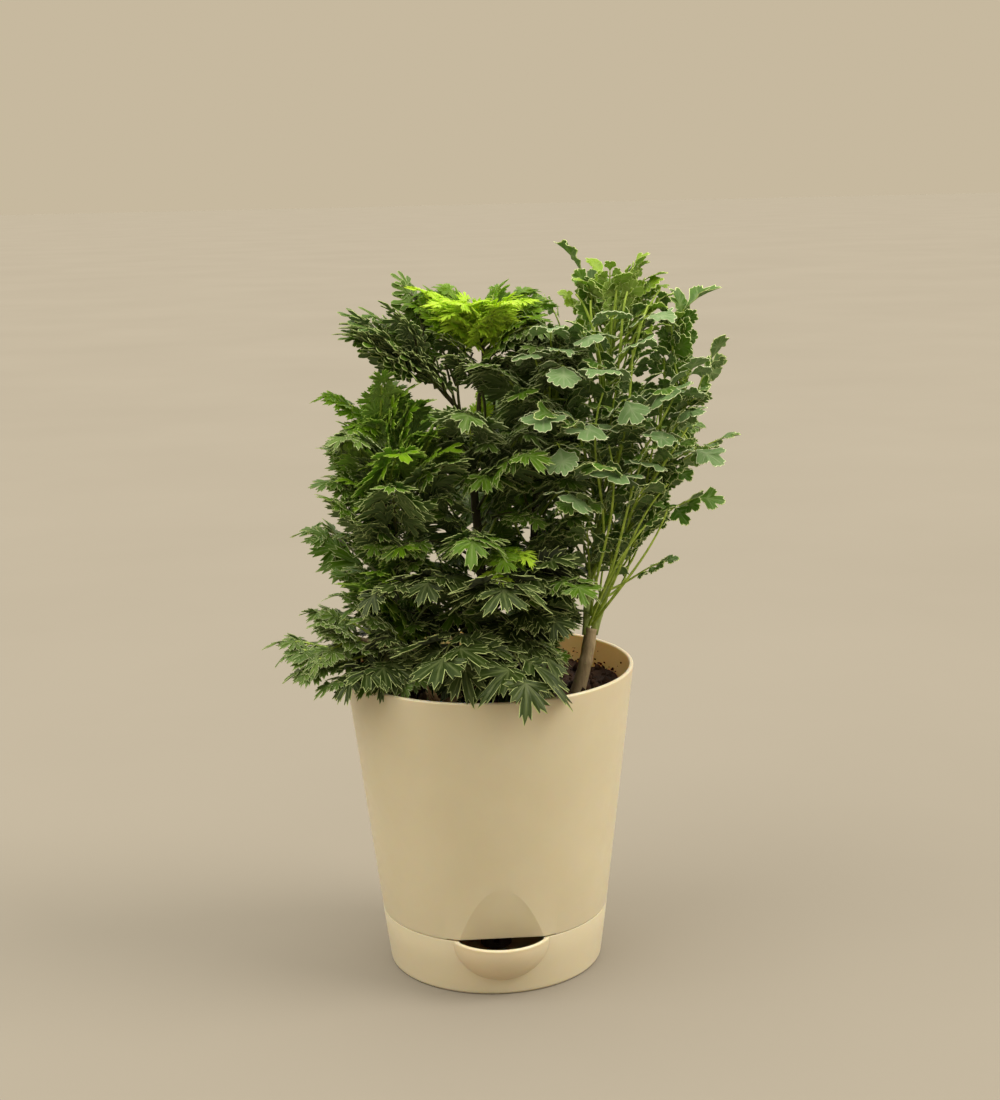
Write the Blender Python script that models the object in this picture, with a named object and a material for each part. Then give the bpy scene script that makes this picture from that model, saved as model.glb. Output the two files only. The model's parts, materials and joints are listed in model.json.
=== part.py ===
"""Potted aralia: two young aralias in a tapered self-watering pot, as separate named pieces.

Units are metres and +Z is up. The origin is the centre of the reservoir base's underside,
and the filling spout faces -Y. The pot sits on the reservoir base, a slotted wick basket
hangs from the pot's floor into the water space, soil fills pot and basket, and the stems
stand in the soil. Each leaf is one piece with its stalk. Pieces that seat on each other
keep one clearance, GAP.
"""

import math

import bmesh
import bpy
from mathutils import Matrix, Vector
from mathutils.bvhtree import BVHTree

MM = 0.001
UP = Vector((0.0, 0.0, 1.0))

# Clearance between pieces that seat on, hang in or grow from each other.
GAP = 0.3 * MM

# Pot: one straight taper runs from the underside of the base to the rim.
RIM_RADIUS = 63.5 * MM
FOOT_RADIUS = 47.7 * MM
POT_HEIGHT = 135.1 * MM
POT_WALL = 1.9 * MM
RIM_ROUND = 0.8 * MM
POT_FLOOR = 2.0 * MM
POT_FLOOR_ABOVE_SEAM = 1.6 * MM
TURNED_SIDES = 64

# Reservoir base and the spigot of the pot that nests in it.
SEAM_HEIGHT = 25.2 * MM
BASE_WALL = 2.0 * MM
BASE_FLOOR = 2.2 * MM
FOOT_ROUND = 1.5 * MM
SPIGOT_DEPTH = 7.0 * MM
SPIGOT_WALL = 1.8 * MM

# Filling spout: half an ellipsoid bowl in front of the base, below a flat recess in the pot.
SPOUT_RADIUS = 23.1 * MM
SPOUT_DEPTH = 21.5 * MM
SPOUT_REACH = 8.0 * MM
SPOUT_WALL = 1.6 * MM
SPOUT_SIDES = 40
RECESS_HEIGHT = 25.0 * MM
RECESS_DEPTH = 3.5 * MM
MOUTH_RELIEF = 0.5 * MM

# Wick basket: a slotted cup that carries soil down into the water.
BASKET_RADIUS = 8.6 * MM
BASKET_TAPER = 1.6 * MM
BASKET_WALL = 1.2 * MM
BASKET_FLANGE = 3.0 * MM
BASKET_CLEARANCE_BELOW = 1.2 * MM
BASKET_SIDES = 24
SLOT_WIDTH = 2.4 * MM
SLOT_PAIRS = 3

# Soil and planting depth.
SOIL_BELOW_RIM = 13.1 * MM
SOIL_MOUND = 2.0 * MM
SOIL_BUMP = 0.7 * MM
PLANTING_DEPTH = 28.0 * MM

# Space above the soil that no leaf may enter, so that water can be poured in:
# it lies against the pot's wall on the +X side.
WATERING_WIDTH = 24.0 * MM
WATERING_LENGTH = 16.0 * MM
WATERING_CENTRE_Y = 20.0 * MM
WATERING_ABOVE_RIM = 2.0 * MM

# Stems and leaves.
STEM_SIDES = 8
STEM_SPAN_STEPS = 2
STALK_HALF = 0.8 * MM
RACHIS_HALF = 0.5 * MM
BLADE_HALF_THICK = 0.42 * MM
LEAF_SCALE = 1.0

BARK_BROWN = (0.20, 0.13, 0.07)
STEM_DARK = (0.10, 0.08, 0.04)
STEM_GREEN = (0.23, 0.30, 0.08)
LEAF_DARK = (0.035, 0.10, 0.03)
LEAF_MID = (0.08, 0.22, 0.035)
LEAF_LIME = (0.30, 0.52, 0.03)
LEAF_GREY = (0.10, 0.20, 0.08)

# Each stem: name, where it starts ("soil", or the stem it forks from), its first and last
# radius in mm, its colour and its points. Points are mm from the middle of the soil's
# surface; a stem that starts in soil is carried straight down to PLANTING_DEPTH.
STEMS = (
    ("trunk_right", "soil", 3.2, 2.7, BARK_BROWN,
     ((38, -8, 0), (42, -7, 14), (45, -4, 28))),
    ("stem_right_outer", "trunk_right", 1.8, 1.1, STEM_GREEN,
     ((47.2, -3, 29), (53, 0, 46), (61, 4, 65), (73, 6, 91), (82, 4, 116), (88, 1, 134))),
    ("stem_right_upright", "trunk_right", 1.7, 1.0, STEM_GREEN,
     ((42.9, -3.4, 29), (45, 2, 46), (49, 6, 65), (51, 8, 92), (54, 6, 127), (58, 0, 172))),
    ("stem_centre", "soil", 2.3, 1.6, STEM_DARK,
     ((0, 0, 0), (-1, 5, 31), (-3, 5, 67), (-5, 5, 99), (-4, 5, 118))),
    ("branch_top_left", "stem_centre", 1.1, 0.8, STEM_DARK,
     ((-5.9, 4.6, 119), (-14, 2, 130), (-24, 0, 142), (-33, -2, 152))),
    ("branch_top", "stem_centre", 1.1, 0.8, STEM_DARK,
     ((-2.5, 5.5, 119), (-1, 5, 130), (1, 5, 146), (0, 3, 160))),
    ("stem_middle", "soil", 1.9, 1.0, STEM_DARK,
     ((16, 10, 0), (20, 12, 38), (23, 12, 83), (29, 10, 114), (32, 8, 134))),
    ("stem_left", "soil", 2.0, 1.0, STEM_DARK,
     ((-17, -5, 0), (-28, -8, 35), (-40, -8, 71), (-45, -6, 102), (-45, -4, 122))),
    ("stem_low_left", "soil", 1.5, 0.9, BARK_BROWN,
     ((-14, -19, 0), (-19, -20, 14), (-31, -25, 26), (-47, -25, 30), (-60, -22, 33))),
)

# Each leaf: its stem, the height where its stalk leaves the stem, where its tip comes, the
# length of its blade (all mm, from the middle of the soil's surface), its kind and colour.
LEAVES = (
    ("branch_top_left", 148, (-60, 0, 163), 38, "cut", LEAF_DARK),
    ("branch_top_left", 140, (-41, 14, 176), 34, "cut", LEAF_DARK),
    ("branch_top", 157, (-29, -6, 174), 36, "cut", LEAF_LIME),
    ("branch_top", 152, (-2, -26, 168), 34, "cut", LEAF_LIME),
    ("branch_top", 154, (25, 4, 173), 36, "cut", LEAF_MID),
    ("stem_middle", 131, (31, -11, 162), 36, "cut", LEAF_DARK),
    ("stem_middle", 112, (4, -28, 144), 34, "cut", LEAF_DARK),
    ("stem_middle", 126, (48, 22, 152), 34, "cut", LEAF_DARK),
    ("stem_middle", 98, (25, -36, 134), 38, "cut", LEAF_DARK),
    ("stem_middle", 84, (16, 56, 122), 42, "cut", LEAF_MID),
    ("stem_left", 119, (-69, 6, 132), 38, "cut", LEAF_MID),
    ("stem_left", 116, (-34, -16, 141), 34, "cut", LEAF_MID),
    ("stem_left", 106, (-69, -24, 117), 38, "cut", LEAF_MID),
    ("stem_left", 84, (-73, -6, 96), 40, "cut", LEAF_DARK),
    ("stem_left", 88, (-47, -48, 111), 40, "cut", LEAF_MID),
    ("stem_left", 58, (-61, -30, 80), 38, "cut", LEAF_DARK),
    ("stem_left", 66, (-28, -56, 98), 40, "cut", LEAF_DARK),
    ("stem_left", 48, (-86, 2, 71), 34, "cut", LEAF_DARK),
    ("stem_left", 32, (-68, -24, 53), 36, "cut", LEAF_MID),
    ("stem_left", 72, (-56, 42, 104), 42, "cut", LEAF_DARK),
    ("stem_centre", 96, (-20, -44, 126), 38, "cut", LEAF_DARK),
    ("stem_centre", 80, (6, -52, 108), 42, "cut", LEAF_DARK),
    ("stem_centre", 54, (-10, -62, 76), 42, "cut", LEAF_DARK),
    ("stem_centre", 34, (3, -72, 57), 44, "cut", LEAF_DARK),
    ("stem_middle", 30, (38, -54, 55), 42, "cut", LEAF_DARK),
    ("stem_centre", 14, (12, -80, 17), 44, "cut", LEAF_GREY),
    ("stem_centre", 20, (-26, -72, 22), 42, "cut", LEAF_DARK),
    ("stem_centre", 82, (-20, 54, 112), 42, "cut", LEAF_MID),
    ("stem_centre", 44, (-16, 66, 78), 44, "cut", LEAF_DARK),
    ("stem_low_left", 32, (-95, -12, 27), 38, "cut", LEAF_DARK),
    ("stem_low_left", 28, (-66, -44, 15), 36, "cut", LEAF_DARK),
    ("stem_right_upright", 152, (38, 6, 187), 32, "round", LEAF_GREY),
    ("stem_right_upright", 164, (68, -6, 189), 30, "round", LEAF_GREY),
    ("stem_right_upright", 118, (46, -34, 149), 32, "round", LEAF_GREY),
    ("stem_right_upright", 96, (23, -45, 128), 34, "round", LEAF_GREY),
    ("stem_right_upright", 78, (47, -52, 106), 36, "round", LEAF_GREY),
    ("stem_right_upright", 62, (32, -42, 92), 34, "round", LEAF_GREY),
    ("stem_right_upright", 128, (52, 44, 166), 34, "round", LEAF_GREY),
    ("stem_right_upright", 56, (34, 50, 108), 36, "round", LEAF_GREY),
    ("stem_right_outer", 130, (94, 4, 171), 32, "round", LEAF_GREY),
    ("stem_right_outer", 118, (104, -8, 150), 32, "round", LEAF_GREY),
    ("stem_right_outer", 94, (109, -2, 110), 34, "round", LEAF_GREY),
    ("stem_right_outer", 70, (99, -12, 86), 34, "round", LEAF_GREY),
    ("stem_right_outer", 44, (82, -8, 58), 28, "round", LEAF_GREY),
    ("stem_right_outer", 102, (74, -38, 138), 34, "round", LEAF_GREY),
    ("stem_right_outer", 82, (70, -42, 114), 34, "round", LEAF_GREY),
    ("stem_right_outer", 88, (88, 46, 128), 36, "round", LEAF_GREY),
)

# Shape of each leaf kind as shares of its blade: where the leaflet pairs stand, how long
# and how wide each leaflet is, how far leaflets lean towards the tip, in degrees, and how
# steeply the leaf's tip droops.
LEAF_KINDS = {
    "cut": {"stations": (0.06, 0.36, 0.66), "lengths": (0.52, 0.48, 0.36),
            "half_width": 0.125, "end_half_width": 0.11, "lean": 36.0, "droop": 0.75},
    "round": {"stations": (0.15, 0.55), "lengths": (0.40, 0.36),
              "half_width": 0.15, "end_half_width": 0.15, "lean": 30.0, "droop": 0.45},
}
LEAFLET_BASE_HALF = 1.0 * MM
LEAFLET_WIDEST = 0.55
LEAFLET_TIP_WIDTH = 0.25
LEAFLET_DROOP = 0.12
TIP_THICKNESS = 0.6
LONGEST_BLADE_SHARE = 0.85
TERMINAL_START = 0.80
TERMINAL_WIDEST = 0.90
TERMINAL_TIP_WIDTH = 0.2
STALK_THINS_AT = 0.55
STALK_THINNED = 1.2

# How a leaf's curve leaves its stem (outwards and along the stem), how long its two handles
# are as shares of its reach, and how much of its climb is left where it arrives.
LEAVE_OUTWARD = 0.75
LEAVE_UPWARD = 0.65
FIRST_HANDLE = 0.36
LAST_HANDLE = 0.34
ARRIVE_CLIMB = 0.9
CURVE_SAMPLES = 16

# Where a leaf's first place is taken, its tip turns round its stem and lifts in these steps.
# Turns are in degrees and lifts in mm, and the try with the fewest units of both comes first.
TURN_UNIT = 6.0
LIFT_UNIT = 4.0
TURN_STEPS = (0, 6, -6, 12, -12, 18, -18, 24, -24, 30, -30, 40, -40)
LIFT_STEPS = (0, 4, -4, 8, -8, 12, 16, 20, 26)
IN_THE_WAY = 1000


# ---------------------------------------------------------------- sizes that follow

def outer_radius(z):
    """Outer radius of pot and base at height z, on their common taper."""
    return FOOT_RADIUS + (RIM_RADIUS - FOOT_RADIUS) * z / POT_HEIGHT


SEAT_TOP = SEAM_HEIGHT + GAP / 2
SEAT_BOTTOM = SEAM_HEIGHT - GAP / 2
FLOOR_UNDERSIDE = SEAM_HEIGHT + POT_FLOOR_ABOVE_SEAM
FLOOR_TOP = FLOOR_UNDERSIDE + POT_FLOOR
SPIGOT_BOTTOM = SEAM_HEIGHT - SPIGOT_DEPTH
SPIGOT_RADIUS = outer_radius(SPIGOT_BOTTOM) - BASE_WALL - GAP
SOIL_TOP = POT_HEIGHT - SOIL_BELOW_RIM
SPOUT_CENTRE_Y = SPOUT_RADIUS - outer_radius(SEAM_HEIGHT) - SPOUT_REACH
BASKET_BOTTOM = BASE_FLOOR + BASKET_CLEARANCE_BELOW
OVERSHOOT = 5.0 * MM


def inner_radius(z):
    return outer_radius(z) - POT_WALL


# ---------------------------------------------------------------- materials and objects

def make_material(name, colour, roughness, coat=0.0):
    """A plain Principled material, made once for each name."""
    material = bpy.data.materials.get(name)
    if material:
        return material
    material = bpy.data.materials.new(name)
    material.use_nodes = True
    shader = material.node_tree.nodes["Principled BSDF"]
    shader.inputs["Base Color"].default_value = (*colour, 1.0)
    shader.inputs["Roughness"].default_value = roughness
    shader.inputs["Metallic"].default_value = 0.0
    shader.inputs["Coat Weight"].default_value = coat
    return material


def plastic(name="cream_plastic"):
    return make_material(name, (0.80, 0.70, 0.45), 0.45, 0.1)


def object_from(name, bm, material, smooth_degrees=None):
    """Turns a bmesh into a linked object, with its faces pointing out."""
    bmesh.ops.recalc_face_normals(bm, faces=bm.faces)
    if bm.calc_volume(signed=True) < 0.0:
        bmesh.ops.reverse_faces(bm, faces=bm.faces)
    mesh = bpy.data.meshes.new(name)
    bm.to_mesh(mesh)
    bm.free()
    mesh.materials.append(material)
    if smooth_degrees:
        mesh.shade_smooth()
        mesh.set_sharp_from_angle(angle=math.radians(smooth_degrees))
    piece = bpy.data.objects.new(name, mesh)
    bpy.context.scene.collection.objects.link(piece)
    return piece


def as_cutter(piece):
    piece.hide_render = True
    piece.display_type = "WIRE"
    return piece


def combine(piece, other, operation):
    """Adds an exact Boolean of other to piece."""
    modifier = piece.modifiers.new(f"{operation.lower()}_{other.name}", "BOOLEAN")
    modifier.operation = operation
    modifier.solver = "EXACT"
    modifier.object = other


def cut(piece, *cutters):
    for cutter in cutters:
        combine(piece, cutter, "DIFFERENCE")


# ---------------------------------------------------------------- turned shapes

def arc(centre_r, centre_z, radius, start_degrees, end_degrees, steps):
    """Profile points on an arc in the (radius, height) plane."""
    points = []
    for step in range(steps + 1):
        angle = math.radians(start_degrees + (end_degrees - start_degrees) * step / steps)
        points.append((centre_r + radius * math.cos(angle), centre_z + radius * math.sin(angle)))
    return points


def turned(profile, sides):
    """A solid of revolution about Z; the profile starts and ends on the axis."""
    bm = bmesh.new()
    rings = []
    for radius, height in profile:
        if radius <= 0.0:
            rings.append([bm.verts.new((0.0, 0.0, height))] * sides)
            continue
        ring = []
        for side in range(sides):
            angle = 2.0 * math.pi * side / sides
            ring.append(bm.verts.new((radius * math.cos(angle), radius * math.sin(angle), height)))
        rings.append(ring)
    for lower, upper in zip(rings, rings[1:]):
        for side in range(sides):
            after = (side + 1) % sides
            corners = (lower[side], lower[after], upper[after], upper[side])
            bm.faces.new(tuple(dict.fromkeys(corners)))
    return bm


def box(name, low, high, material):
    bm = bmesh.new()
    centre = (Vector(low) + Vector(high)) / 2
    size = Vector(high) - Vector(low)
    scale = Matrix.Diagonal((*size, 1.0))
    bmesh.ops.create_cube(bm, size=1.0, matrix=Matrix.Translation(centre) @ scale)
    return object_from(name, bm, material)


def ellipsoid(name, wall, material):
    """The spout's bowl, drawn in by wall, as a whole ellipsoid centred at the seam."""
    bm = bmesh.new()
    bmesh.ops.create_uvsphere(bm, u_segments=SPOUT_SIDES, v_segments=SPOUT_SIDES // 2, radius=1.0)
    across = SPOUT_RADIUS - wall
    bmesh.ops.scale(bm, verts=bm.verts, vec=(across, across, SPOUT_DEPTH - wall))
    bmesh.ops.translate(bm, verts=bm.verts, vec=(0.0, SPOUT_CENTRE_Y, SEAT_BOTTOM))
    return object_from(name, bm, material)


def recess_wedge(name, inset, material):
    """The space in front of the flat recess; inset moves its sloping face towards the axis."""
    foot_y = -(outer_radius(SEAM_HEIGHT) - RECESS_DEPTH)
    apex_y = -outer_radius(SEAM_HEIGHT + RECESS_HEIGHT)
    lean = (apex_y - foot_y) / RECESS_HEIGHT
    inset_y = inset * math.hypot(1.0, lean)
    low_z = SPIGOT_BOTTOM - OVERSHOOT
    high_z = SEAM_HEIGHT + 2.0 * RECESS_HEIGHT
    front_y = -(RIM_RADIUS + OVERSHOOT + RECESS_HEIGHT)
    outline = (
        (foot_y + lean * (low_z - SEAM_HEIGHT) + inset_y, low_z),
        (foot_y + lean * (high_z - SEAM_HEIGHT) + inset_y, high_z),
        (front_y, high_z),
        (front_y, low_z),
    )
    bm = bmesh.new()
    half_width = outer_radius(SEAM_HEIGHT)
    corners = [bm.verts.new((-half_width, y, z)) for y, z in outline]
    face = bm.faces.new(corners)
    grown = bmesh.ops.extrude_face_region(bm, geom=[face])["geom"]
    moved = [item for item in grown if isinstance(item, bmesh.types.BMVert)]
    bmesh.ops.translate(bm, verts=moved, vec=(2.0 * half_width, 0.0, 0.0))
    return as_cutter(object_from(name, bm, material))


# ---------------------------------------------------------------- pot, base, basket, soil

def make_pot_body():
    """The tapered pot: a floor with the basket's hole, and a spigot that nests in the base."""
    material = plastic()
    wall_foot = outer_radius(SEAT_TOP)
    profile = [
        (0.0, SPIGOT_BOTTOM),
        (SPIGOT_RADIUS - RIM_ROUND, SPIGOT_BOTTOM),
        (SPIGOT_RADIUS, SPIGOT_BOTTOM + RIM_ROUND),
        (SPIGOT_RADIUS, SEAT_TOP),
        (wall_foot, SEAT_TOP),
    ]
    profile += arc(RIM_RADIUS - RIM_ROUND, POT_HEIGHT - RIM_ROUND, RIM_ROUND, 0.0, 90.0, 3)
    profile.append((0.0, POT_HEIGHT))
    pot = object_from("pot_body", turned(profile, TURNED_SIDES), material, 40.0)

    top_inner = inner_radius(POT_HEIGHT)
    inside = [(0.0, FLOOR_TOP), (inner_radius(FLOOR_TOP), FLOOR_TOP)]
    inside += arc(top_inner + RIM_ROUND, POT_HEIGHT - RIM_ROUND, RIM_ROUND, 180.0, 90.0, 3)
    inside.append((top_inner + RIM_ROUND, POT_HEIGHT + OVERSHOOT))
    inside.append((0.0, POT_HEIGHT + OVERSHOOT))
    cavity = as_cutter(object_from("pot_cavity", turned(inside, TURNED_SIDES), material))
    cut(cavity, recess_wedge("recess_inside", POT_WALL, material))

    under_radius = SPIGOT_RADIUS - SPIGOT_WALL
    under = [
        (0.0, SPIGOT_BOTTOM - OVERSHOOT),
        (under_radius, SPIGOT_BOTTOM - OVERSHOOT),
        (under_radius, FLOOR_UNDERSIDE),
        (0.0, FLOOR_UNDERSIDE),
    ]
    underside = as_cutter(object_from("pot_underside", turned(under, TURNED_SIDES), material))

    hole_radius = BASKET_RADIUS + GAP
    hole = [
        (0.0, SPIGOT_BOTTOM),
        (hole_radius, SPIGOT_BOTTOM),
        (hole_radius, FLOOR_TOP + OVERSHOOT),
        (0.0, FLOOR_TOP + OVERSHOOT),
    ]
    basket_hole = as_cutter(object_from("basket_hole", turned(hole, BASKET_SIDES), material))

    mouth_half = SPOUT_RADIUS + GAP
    mouth = as_cutter(box(
        "spigot_mouth",
        (-mouth_half, -(SPIGOT_RADIUS + OVERSHOOT), SPIGOT_BOTTOM - OVERSHOOT),
        (mouth_half, SPOUT_CENTRE_Y, SEAT_TOP + MOUTH_RELIEF),
        material,
    ))
    cut(pot, recess_wedge("recess_outside", 0.0, material), cavity, underside, basket_hole, mouth)
    return pot


def make_reservoir_base():
    """The low cup that holds the water, with the spout's bowl grown out of its front."""
    material = plastic()
    over = SEAM_HEIGHT + OVERSHOOT
    profile = [(0.0, 0.0)]
    profile += arc(FOOT_RADIUS - FOOT_ROUND, FOOT_ROUND, FOOT_ROUND, -90.0, 0.0, 3)
    profile += [(outer_radius(over), over), (0.0, over)]
    base = object_from("reservoir_base", turned(profile, TURNED_SIDES), material, 40.0)
    bowl = as_cutter(ellipsoid("spout_outside", 0.0, material))
    combine(base, bowl, "UNION")

    reach = RIM_RADIUS + SPOUT_REACH + OVERSHOOT
    level = as_cutter(box(
        "seam_level",
        (-reach, -reach, SEAT_BOTTOM),
        (reach, reach, SEAM_HEIGHT + SPOUT_DEPTH + OVERSHOOT),
        material,
    ))
    inside = [
        (0.0, BASE_FLOOR),
        (outer_radius(BASE_FLOOR) - BASE_WALL, BASE_FLOOR),
        (outer_radius(over) - BASE_WALL, over),
        (0.0, over),
    ]
    water_space = as_cutter(object_from("water_space", turned(inside, TURNED_SIDES), material))
    cut(base, level, water_space, as_cutter(ellipsoid("spout_inside", SPOUT_WALL, material)))
    return base


def basket_outer(z):
    """Outer radius of the basket's tapered cup at height z."""
    share = (FLOOR_TOP - z) / (FLOOR_TOP - BASKET_BOTTOM)
    return BASKET_RADIUS - BASKET_TAPER * max(0.0, share)


def make_wick_basket():
    """A slotted cup with a flange that rests on the pot's floor."""
    material = make_material("dark_plastic", (0.05, 0.045, 0.04), 0.6)
    flange_foot = FLOOR_TOP + GAP
    flange_top = flange_foot + BASKET_WALL
    profile = [
        (0.0, BASKET_BOTTOM),
        (basket_outer(BASKET_BOTTOM), BASKET_BOTTOM),
        (BASKET_RADIUS, FLOOR_TOP),
        (BASKET_RADIUS, flange_foot),
        (BASKET_RADIUS + BASKET_FLANGE, flange_foot),
        (BASKET_RADIUS + BASKET_FLANGE, flange_top),
        (0.0, flange_top),
    ]
    basket = object_from("wick_basket", turned(profile, BASKET_SIDES), material, 40.0)
    cup_floor = BASKET_BOTTOM + BASKET_WALL
    inside = [
        (0.0, cup_floor),
        (basket_outer(cup_floor) - BASKET_WALL, cup_floor),
        (BASKET_RADIUS - BASKET_WALL, FLOOR_TOP),
        (BASKET_RADIUS - BASKET_WALL, flange_top + OVERSHOOT),
        (0.0, flange_top + OVERSHOOT),
    ]
    hollow = as_cutter(object_from("basket_hollow", turned(inside, BASKET_SIDES), material))
    cut(basket, hollow)
    reach = BASKET_RADIUS + OVERSHOOT
    for pair in range(SLOT_PAIRS):
        slot = as_cutter(box(
            f"basket_slot_{pair + 1}",
            (-reach, -SLOT_WIDTH / 2, cup_floor + BASKET_WALL),
            (reach, SLOT_WIDTH / 2, SEAM_HEIGHT - SLOT_WIDTH),
            material,
        ))
        slot.rotation_euler = (0.0, 0.0, math.pi * (pair + 0.5) / SLOT_PAIRS)
        cut(basket, slot)
    return basket


def soil_height(x, y):
    """Height of the soil's uneven surface: a low mound with soft bumps."""
    edge = inner_radius(SOIL_TOP)
    mound = SOIL_MOUND * (1.0 - min(1.0, math.hypot(x, y) / edge) ** 2)
    bumps = math.sin(x * 190.0 + 0.6) * math.cos(y * 160.0 - 0.4) + 0.5 * math.sin((x - y) * 330.0)
    return SOIL_TOP + mound + SOIL_BUMP * bumps


def make_soil(stem_objects):
    """Soil in the pot, with a plug down the basket and a socket round each buried stem."""
    material = make_material("soil", (0.035, 0.02, 0.012), 0.95)
    plug_bottom = BASKET_BOTTOM + BASKET_WALL + GAP
    flange_top = FLOOR_TOP + GAP + BASKET_WALL
    inset = BASKET_WALL + GAP
    around_flange = BASKET_RADIUS + BASKET_FLANGE + GAP
    profile = [
        (0.0, plug_bottom),
        (basket_outer(plug_bottom) - inset, plug_bottom),
        (BASKET_RADIUS - inset, FLOOR_TOP),
        (BASKET_RADIUS - inset, flange_top + GAP),
        (around_flange, flange_top + GAP),
        (around_flange, FLOOR_TOP + GAP),
        (inner_radius(FLOOR_TOP + GAP) - 2.0 * GAP, FLOOR_TOP + GAP),
        (inner_radius(SOIL_TOP) - 2.0 * GAP, SOIL_TOP),
    ]
    edge = inner_radius(SOIL_TOP) - 2.0 * GAP
    for share in (0.86, 0.66, 0.44, 0.22, 0.0):
        profile.append((edge * share, SOIL_TOP))
    bm = turned(profile, TURNED_SIDES // 2)
    for vert in bm.verts:
        if vert.co.z >= SOIL_TOP - GAP / 2 and vert.co.xy.length < edge - GAP:
            vert.co.z = soil_height(vert.co.x, vert.co.y)
    soil = object_from("soil", bm, material, 60.0)
    cut(soil, recess_wedge("recess_soil", POT_WALL + GAP, material))
    for name, tube in stem_objects.items():
        if tube.start == "soil":
            socket = tube_mesh(tube.buried_path(), [radius + GAP for radius in tube.buried_radii()])
            cut(soil, as_cutter(object_from(f"socket_{name}", socket, material)))
    return soil


# ---------------------------------------------------------------- paths and tubes

def smooth_path(points, steps):
    """A Catmull-Rom curve through the points, with this many steps in each span."""
    ends = [points[0] * 2 - points[1], *points, points[-1] * 2 - points[-2]]
    path = []
    for before, start, end, after in zip(ends, ends[1:], ends[2:], ends[3:]):
        for step in range(steps):
            t = step / steps
            path.append(0.5 * (
                2.0 * start
                + (end - before) * t
                + (2.0 * before - 5.0 * start + 4.0 * end - after) * t * t
                + (3.0 * start - before - 3.0 * end + after) * t ** 3
            ))
    path.append(points[-1].copy())
    return path


def tangents(path):
    """Unit direction of the path at each of its points."""
    found = []
    for index in range(len(path)):
        ahead = path[min(index + 1, len(path) - 1)]
        behind = path[max(index - 1, 0)]
        found.append((ahead - behind).normalized())
    return found


def joined_rings(bm, rings):
    """Skins consecutive rings, caps both ends and returns the side faces by span."""
    count = len(rings[0])
    spans = []
    for lower, upper in zip(rings, rings[1:]):
        faces = []
        for side in range(count):
            after = (side + 1) % count
            faces.append(bm.faces.new((lower[side], lower[after], upper[after], upper[side])))
        spans.append(faces)
    bm.faces.new(tuple(reversed(rings[0])))
    bm.faces.new(tuple(rings[-1]))
    return spans


def tube_mesh(path, radii, sides=STEM_SIDES):
    """A round tube along a path, with a radius at each point."""
    bm = bmesh.new()
    rings = []
    across = Vector((1.0, 0.0, 0.0))
    for point, along, radius in zip(path, tangents(path), radii):
        across = (across - along * across.dot(along)).normalized()
        third = along.cross(across)
        ring = []
        for side in range(sides):
            angle = 2.0 * math.pi * side / sides
            ring.append(bm.verts.new(point + radius * (across * math.cos(angle) + third * math.sin(angle))))
        rings.append(ring)
    joined_rings(bm, rings)
    return bm


class Stem:
    """One stem or branch: its path, its radii and where a height lies on it."""

    def __init__(self, name, start, first_mm, last_mm, colour, points_mm):
        self.name = name
        self.start = start
        self.colour = colour
        self.first = first_mm * MM
        points = [Vector(point) * MM + UP * SOIL_TOP for point in points_mm]
        above = smooth_path(points, STEM_SPAN_STEPS)
        total = len(above) - 1
        growth_mm = (last_mm - first_mm) / total
        above_radii = [(first_mm + growth_mm * index) * MM for index in range(total + 1)]
        foot = []
        if start == "soil":
            foot = [above[0] - UP * PLANTING_DEPTH, above[0] - UP * PLANTING_DEPTH / 2]
        self.path = foot + above
        self.radii = [self.first] * len(foot) + above_radii

    def buried_path(self):
        """The path in the soil, a little longer at both ends, for the socket."""
        low, middle, surface, next_point = self.path[:4]
        beyond = (next_point - surface).normalized()
        clear = SOIL_MOUND + 4.0 * SOIL_BUMP
        return [low - UP * GAP, middle, surface, surface + beyond * (clear / beyond.z)]

    def buried_radii(self):
        return [self.first] * 4

    def at_height(self, height_mm):
        """Point, direction and radius where the stem passes a height above the soil."""
        height = SOIL_TOP + height_mm * MM
        directions = tangents(self.path)
        for index in range(len(self.path) - 1):
            low = self.path[index]
            high = self.path[index + 1]
            if low.z <= height <= high.z:
                share = (height - low.z) / (high.z - low.z)
                point = low.lerp(high, share)
                along = directions[index].lerp(directions[index + 1], share).normalized()
                radius = self.radii[index] * (1.0 - share) + self.radii[index + 1] * share
                return point, along, radius
        raise ValueError(f"{self.name} does not reach {height_mm} mm")

    def build(self):
        material = make_material(f"bark_{self.name}", self.colour, 0.8)
        return object_from(self.name, tube_mesh(self.path, self.radii), material, 50.0)


# ---------------------------------------------------------------- leaves

def leaf_curve(stem, height_mm, tip, droop):
    """The four control points of a leaf's stalk and midrib, from its stem to its tip."""
    point, along, radius = stem.at_height(height_mm)
    outward = tip - point
    outward = (outward - along * outward.dot(along)).normalized()
    start = point + outward * (radius + GAP + STALK_HALF)
    reach = (tip - start).length
    leave = (outward * LEAVE_OUTWARD + along * LEAVE_UPWARD).normalized()
    level = Vector((tip.x - start.x, tip.y - start.y, 0.0)).normalized()
    climb = (tip.z - start.z) / reach
    arrive = (level + UP * (ARRIVE_CLIMB * climb - droop)).normalized()
    return start, start + leave * reach * FIRST_HANDLE, tip - arrive * reach * LAST_HANDLE, tip


def curve_point(curve, t):
    a, b, c, d = curve
    s = 1.0 - t
    return a * s ** 3 + b * (3.0 * s * s * t) + c * (3.0 * s * t * t) + d * t ** 3


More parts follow.
